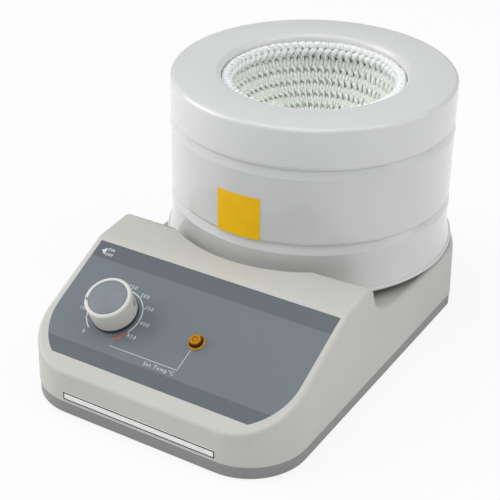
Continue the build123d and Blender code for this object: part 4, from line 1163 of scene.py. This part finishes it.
class MANTLE_OT_panel(bpy.types.Operator):
    """Prints the control panel: bands, scale, numbers, switch mark and lamp line"""

    bl_idname = "mantle.panel"
    bl_label = "Control panel"

    def execute(self, context):
        finish, sizes = choices(context)
        film = printed_film("printed_polyester_film", finish.film, finish.film_band, sizes)
        ink = screen_ink("white_screen_ink", finish.ink)
        # A dark ink for painted shade in gaps: round the film's edge and under the knob.
        painted_gap_shade = screen_ink("film_gap_painted_shade", "#474E54")
        hot = screen_ink("red_screen_ink", finish.marker)
        # The film's face is inset by itself, and the ring left all round is painted dark:
        # painted shade of the gap round the film's recess.
        sheet = copied_node("control_panel")
        faces = sheet.data.polygons
        face = max(faces, key=lambda f: f.area * f.normal.dot(OUT_OF_PANEL))
        for polygon in faces:
            polygon.select = polygon == face
        for edge in sheet.data.edges:
            edge.select = False
        bpy.ops.object.mode_set(mode="EDIT")
        bpy.ops.mesh.select_mode(type="FACE")
        bpy.ops.mesh.inset(thickness=0.45 * MM)
        bpy.ops.object.mode_set(mode="OBJECT")
        context.tool_settings.mesh_select_mode = (True, False, False)
        finish_piece(sheet, "printed_film", "mantle", film, ["control_panel"], None)
        sheet.data.materials.append(painted_gap_shade)
        for polygon in sheet.data.polygons:
            polygon.material_index = 0 if polygon.select else 1

        # The scale is printed a little off the shaft, and each of its numbers has its own listed
        # place.
        knob = KNOB_CENTRE + Vector((-0.6 * MM, -0.3 * MM, 0))

        def around(mark, reach):
            """A point of the panel at a clockwise angle and a distance from the knob."""
            turn = math.radians(mark)
            return knob[0] + reach * math.sin(turn), knob[1] + reach * math.cos(turn)

        radius = sizes.scale_radius
        marks = (-147, -120, -98.5, -65, -31.5, 2.3, 31.7, 60, 90, 120)
        arcs = [
            printed_arc(knob, radius, 0.75 * MM, start + 1.6, end - 1.6)
            for start, end in zip(marks, marks[1:])
        ]
        ticks = [
            stroke([around(mark, radius), around(mark, radius + 1.1 * MM)], 0.45 * MM)
            for mark in marks[1:]
        ]
        printed(joined(*arcs, *ticks), "dial_scale", ink)
        numbers = [
            words(text, sizes.figure_height, around(mark, reach * MM), 1.3)
            for text, mark, reach in (
                ("0", -147, 23.4),
                ("100", -99.5, 23.0),
                ("150", -65, 24.2),
                ("200", -31.5, 23.4),
                ("250", 1.3, 22.9),
                ("300", 33.0, 23.0),
                ("350", 61.0, 23.6),
                ("400", 91.0, 24.4),
                ("450", 119.6, 24.2),
            )
        ]
        printed(joined(*numbers), "dial_numbers", ink)
        hot_end = joined(
            printed_arc(knob, 19.5 * MM, 1.05 * MM, 124, 140),
            printed_arc(knob, 20.9 * MM, 1.0 * MM, 137, 153),
        )
        printed(hot_end, "dial_hot_end", hot)
        # A dark ring painted on the film under the knob's foot: painted shadow of the gap beneath
        # it.
        seat = printed_arc(KNOB_CENTRE, 15.0 * MM, 2.6 * MM, -180, 180)
        printed(seat, "dial_painted_shadow_ring", painted_gap_shade)
        lamp_line = stroke(
            [(-39.6 * MM, 17.5 * MM), (13 * MM, 17.5 * MM), (13.6 * MM, 34.0 * MM)], 0.36 * MM
        )
        printed(lamp_line, "lamp_line", ink)
        printed(words("Set Temp°C", 2.8 * MM, (0.9 * MM, 14.2 * MM), 1.22), "lamp_words", ink)

        fresh()
        bpy.ops.mesh.primitive_circle_add(vertices=3, radius=1, fill_type="NGON")
        arrow = bpy.context.object
        settle(
            arrow,
            Matrix.Translation((-86.4 * MM, 83.3 * MM, INK))
            @ Matrix.Diagonal((2.3 * MM, 3.4 * MM, 1, 1))
            @ Matrix.Rotation(QUARTER, 4, "Z"),
        )
        modify(arrow, "SOLIDIFY", thickness=INK * 1.5, offset=0.0)
        switch_words = joined(
            arrow,
            words("ON", 2.3 * MM, (-81.9 * MM, 85.3 * MM), 1.2, 0.03),
            words("OFF", 2.3 * MM, (-81.5 * MM, 81.1 * MM), 1.2, 0.03),
        )
        printed(switch_words, "switch_mark", ink)
        return {"FINISHED"}


class MANTLE_OT_dial(bpy.types.Operator):
    """Turns the dial knob and its cap"""

    bl_idname = "mantle.dial"
    bl_label = "Dial knob"

    def execute(self, context):
        finish = context.scene.mantle_finish
        shell = moulded_abs(
            "polished_knob_moulding", finish.knob, "#D2D1CA", 0.5 * MM, 0.006 * MM, 0.36
        )
        face = label_film("satin_cap_film", finish.knob_cap, "#7E8589", 0.34)
        body = turned(
            [
                (0, 17.4),
                (13.5, 17.4),
                (13.5, 18.5, 0.35),
                (16.2, 18.5, 1.4),
                (15.75, 2.0, 0.5),
                (14, 2.0, 0.3),
                (14, 16.2, 0.5),
                (5.5, 16.2, 0.4),
                (5.5, 6.6, 0.3),
                (3.05, 6.6),
                (3.05, 15.8),
                (0, 15.8),
            ],
            steps=128,
            closed=False,
        )
        notch = block((2.6, 5.0, 2.2), (0, 15.6, 18.3))
        hole = rod(2.0, 12, 32)
        settle(
            hole,
            Matrix.Translation((0, -5.0 * MM, 9.2 * MM))
            @ Matrix.Rotation(QUARTER, 4, "X")
            @ Matrix.Diagonal((1.0, 1.6, 1.0, 1.0)),
        )
        cut(body, notch, hole)
        settle(body, KNOB_PLACE)
        finish_piece(body, "knob_shell", "dial", shell, ["knob_body"])

        cap = turned(
            [(0, 18.2), (13.15, 18.2, 0.3), (13.15, 17.4), (0, 17.4)], steps=128, closed=False
        )
        pointer = block((2.2, 6.4, 0.8), (0, 11.6, 17.8), 0.15)
        cut(cap, pointer, operation="UNION")
        settle(cap, KNOB_PLACE)
        finish_piece(cap, "knob_face", "dial", face, ["knob_cap"])
        return {"FINISHED"}


class MANTLE_OT_lamp(bpy.types.Operator):
    """Turns the indicator's amber lens"""

    bl_idname = "mantle.lamp"
    bl_label = "Indicator lamp"

    def execute(self, context):
        finish = context.scene.mantle_finish
        amber = clear_amber(
            "amber_polycarbonate_painted_light",
            # The darker stops paint shade on the step round the dome's top, down its rounded edge
            # and in the groove round it; the last, lightest stop paints a highlight on the flange's
            # edge.
            [
                (0.0, "#CC8600"),
                (0.24, finish.lens),
                (0.33, "#7C4A00"),
                (0.42, "#CE8C00"),
                (0.62, "#A86C00"),
                (0.74, "#4A2A00"),
                (0.84, "#8A5800"),
                (0.93, "#B07600"),
                (1.0, "#EDB020"),
            ],
            5.8 * MM,
        )
        lens = turned(
            [
                (0, 3.9),
                (1.9, 3.9, 0.3),
                (2.2, 4.3, 0.3),
                (4.2, 4.3, 1.2),
                (4.3, 0.9, 0.3),
                (4.7, 0.9, 0.2),
                (4.9, 1.5, 0.2),
                (5.8, 1.5, 0.7),
                (5.8, 0.02),
                (4.6, 0.02),
                (4.6, -2.8, 0.3),
                (0, -2.8),
            ],
            steps=96,
            closed=False,
        )
        settle(lens, LAMP_PLACE)
        finish_piece(lens, "lamp_dome", "mantle", amber, ["lamp_lens"])
        return {"FINISHED"}


class MANTLE_OT_labels(bpy.types.Operator):
    """Finishes the two blank labels, and rules the strip's border"""

    bl_idname = "mantle.labels"
    bl_label = "Blank labels"

    def execute(self, context):
        finish = context.scene.mantle_finish
        yellow = label_film("yellow_vinyl", finish.yellow_label, "#F4BE00", 0.38)
        white = label_film("white_vinyl", finish.white_label, "#EDEDEB", 0.34)
        black = screen_ink("black_screen_ink", "#0C0D0E")
        for name, material in (("drum_label", yellow), ("strip_label", white)):
            NODES[name].data.materials.clear()
            NODES[name].data.materials.append(material)

        low, high = span("strip_label")
        face = Matrix.Translation((0, low.y, middle(low.z, high.z))) @ Matrix.Rotation(
            QUARTER - HOUSING_LEAN, 4, "X"
        )
        half_x = (high.x - low.x) / 2 - 0.9 * MM
        half_y = (high.z - low.z) / 2 - 0.8 * MM
        corners = [(-half_x, -half_y), (half_x, -half_y), (half_x, half_y), (-half_x, half_y)]
        border = stroke(corners + corners[:1], 0.8 * MM)
        offset = Matrix.Translation((0, 0, 0.01 * MM))
        printed(border, "strip_border", black, face @ offset)
        return {"FINISHED"}


class MANTLE_OT_rocker(bpy.types.Operator):
    """Finishes the power switch's rocker, with its off and on marks"""

    bl_idname = "mantle.rocker"
    bl_label = "Power rocker"

    def execute(self, context):
        finish = context.scene.mantle_finish
        black = moulded_abs(
            "black_rocker_moulding", "#1F2021", "#191A1B", 0.4 * MM, 0.004 * MM, 0.3
        )
        white = screen_ink("rocker_mark_ink", finish.ink)
        rocker = copied_node("rocker")
        modify(
            rocker, "BEVEL", width=0.3 * MM, segments=2, limit_method="ANGLE", angle_limit=FLAT
        )
        finish_piece(
            rocker, "rocker_moulding", "power_rocker", black, ["rocker"]
        )
        # The rocker stands tipped about its pin, and its face falls away each side of a crown.
        tip, fall = math.radians(8), math.radians(8.86)
        low, high = span("switch_frame")
        height = middle(low.z, high.z)
        wall = HOUSING_SIDE - (height - HOUSING_FOOT) * math.tan(HOUSING_LEAN)
        across, along = math.sin(HOUSING_LEAN), math.cos(HOUSING_LEAN)
        origin = (-wall, middle(low.y, high.y), height)
        frame_place = placed((0, -1, 0), (across, 0, along), (-along, 0, across), origin)
        pin = Matrix.Translation((0, 0, -1.6 * MM))
        tipped = frame_place @ pin @ Matrix.Rotation(tip, 4, "Y") @ pin.inverted()
        for name, text, side in (("rocker_mark_off", "O", 1), ("rocker_mark_on", "I", -1)):
            face = Matrix.Translation((side * 4.7 * MM, 0, 1.67 * MM)) @ Matrix.Rotation(
                side * fall, 4, "Y"
            )
            mark = words(text, 3.0 * MM, (0, 0))
            printed(mark, name, white, tipped @ face, "power_rocker")
        return {"FINISHED"}


class MANTLE_OT_held_pieces(bpy.types.Operator):
    """Gives each piece that stays as the CAD has it the finish of its real material"""

    bl_idname = "mantle.held_pieces"
    bl_label = "Held pieces"

    def execute(self, context):
        steel = worked_metal("plain_steel_sheet", "#A9ABAD", 0.34, "X")
        zinc = worked_metal("bright_zinc_plate", "#C4C7CA", 0.24, "Z", 4 * MM, 0.3 * MM)
        brass = worked_metal("stamped_brass", "#C8A556", 0.3, "Y", 6 * MM, 0.3 * MM)
        nylon = moulded_abs("black_glass_filled_nylon", "#262829", "#1E2021", 0.5 * MM)
        sleeve = braided_sleeve("braided_glass_sleeve", "#DAD5C5", "#BDB7A4")
        rubber = moulded_rubber("moulded_nitrile_rubber", "#242526")
        finishes = {
            "heater_coil": worked_metal("oxidised_resistance_wire", "#6E655C", 0.5, "Z"),
            "insulation": loose_fibre("mineral_wool", "#D9D3B9", "#B9B08F", 3 * MM),
            "transformer": varnished_laminations("varnished_laminations", "#57544F", "#34322F"),
            "relay": moulded_abs("blue_relay_case", "#2C5492", "#264A82", 0.5 * MM, roughness=0.3),
            "capacitor": moulded_abs(
                "capacitor_sleeve", "#1F2328", "#181B1F", 0.4 * MM, roughness=0.25
            ),
            "heat_sink": worked_metal("anodised_aluminium", "#8F9294", 0.42, "Z"),
            "control_board": circuit_laminate("solder_resist_board", "#1F5E38", "#2F7A4B"),
            "board_connectors": moulded_abs(
                "green_connector_nylon", "#3B8350", "#347546", 0.5 * MM
            ),
            "terminal_block": fired_ceramic("steatite_block", "#E3DDCF", "#BFB7A6"),
        }
        for material, names in (
            (
                steel,
                "insulation_can clamp_ring can_posts drum_floor heat_shield drum_spacers "
                "temperature_probe board_standoffs",
            ),
            (
                zinc,
                "drum_bolts drum_nuts tie_rods tie_nuts set_screw pot_nut inlet_nuts "
                "inlet_screws board_screws base_screws fuse_and_clips",
            ),
            (brass, "pot_shaft lamp_pins switch_tabs inlet_pins"),
            (nylon, "potentiometer lamp_holder switch_frame inlet_body"),
            (sleeve, "heater_leads inlet_leads heater_supply_leads switch_leads panel_leads"),
            (
                rubber,
                "deck_grommet foot_front_left foot_front_right foot_rear_left foot_rear_right",
            ),
        ):
            for name in names.split():
                finishes[name] = material
        for name, material in finishes.items():
            node = NODES[name]
            node.data.materials.clear()
            node.data.materials.append(material)
        return {"FINISHED"}


OPERATORS = (
    MANTLE_OT_base,
    MANTLE_OT_drum,
    MANTLE_OT_bowl,
    MANTLE_OT_panel,
    MANTLE_OT_dial,
    MANTLE_OT_lamp,
    MANTLE_OT_labels,
    MANTLE_OT_rocker,
    MANTLE_OT_held_pieces,
    MANTLE_OT_stage,
)


class MANTLE_PT_panel(bpy.types.Panel):
    """The mantle's pieces, each with a button that makes it, and its colours and sizes"""

    bl_idname = "MANTLE_PT_panel"
    bl_label = "Heating Mantle"
    bl_space_type = "VIEW_3D"
    bl_region_type = "UI"
    bl_category = "Mantle"

    def draw(self, context):
        for operator in OPERATORS:
            self.layout.operator(operator.bl_idname)
        for group in choices(context):
            box = self.layout.box()
            for name in group.__annotations__:
                box.prop(group, name)


CLASSES = (MantleFinish, MantleSizes, *OPERATORS, MANTLE_PT_panel)


def register():
    """Makes the operators, the panel and the settings known to the program."""
    for cls in CLASSES:
        bpy.utils.register_class(cls)
    bpy.types.Scene.mantle_finish = bpy.props.PointerProperty(type=MantleFinish)
    bpy.types.Scene.mantle_sizes = bpy.props.PointerProperty(type=MantleSizes)


def unregister():
    """Takes them away again."""
    del bpy.types.Scene.mantle_sizes
    del bpy.types.Scene.mantle_finish
    for cls in reversed(CLASSES):
        bpy.utils.unregister_class(cls)


def main():
    """Makes every piece in turn."""
    register()
    for operator in OPERATORS:
        group, name = operator.bl_idname.split(".")
        getattr(getattr(bpy.ops, group), name)()


if __name__ == "__main__":
    main()
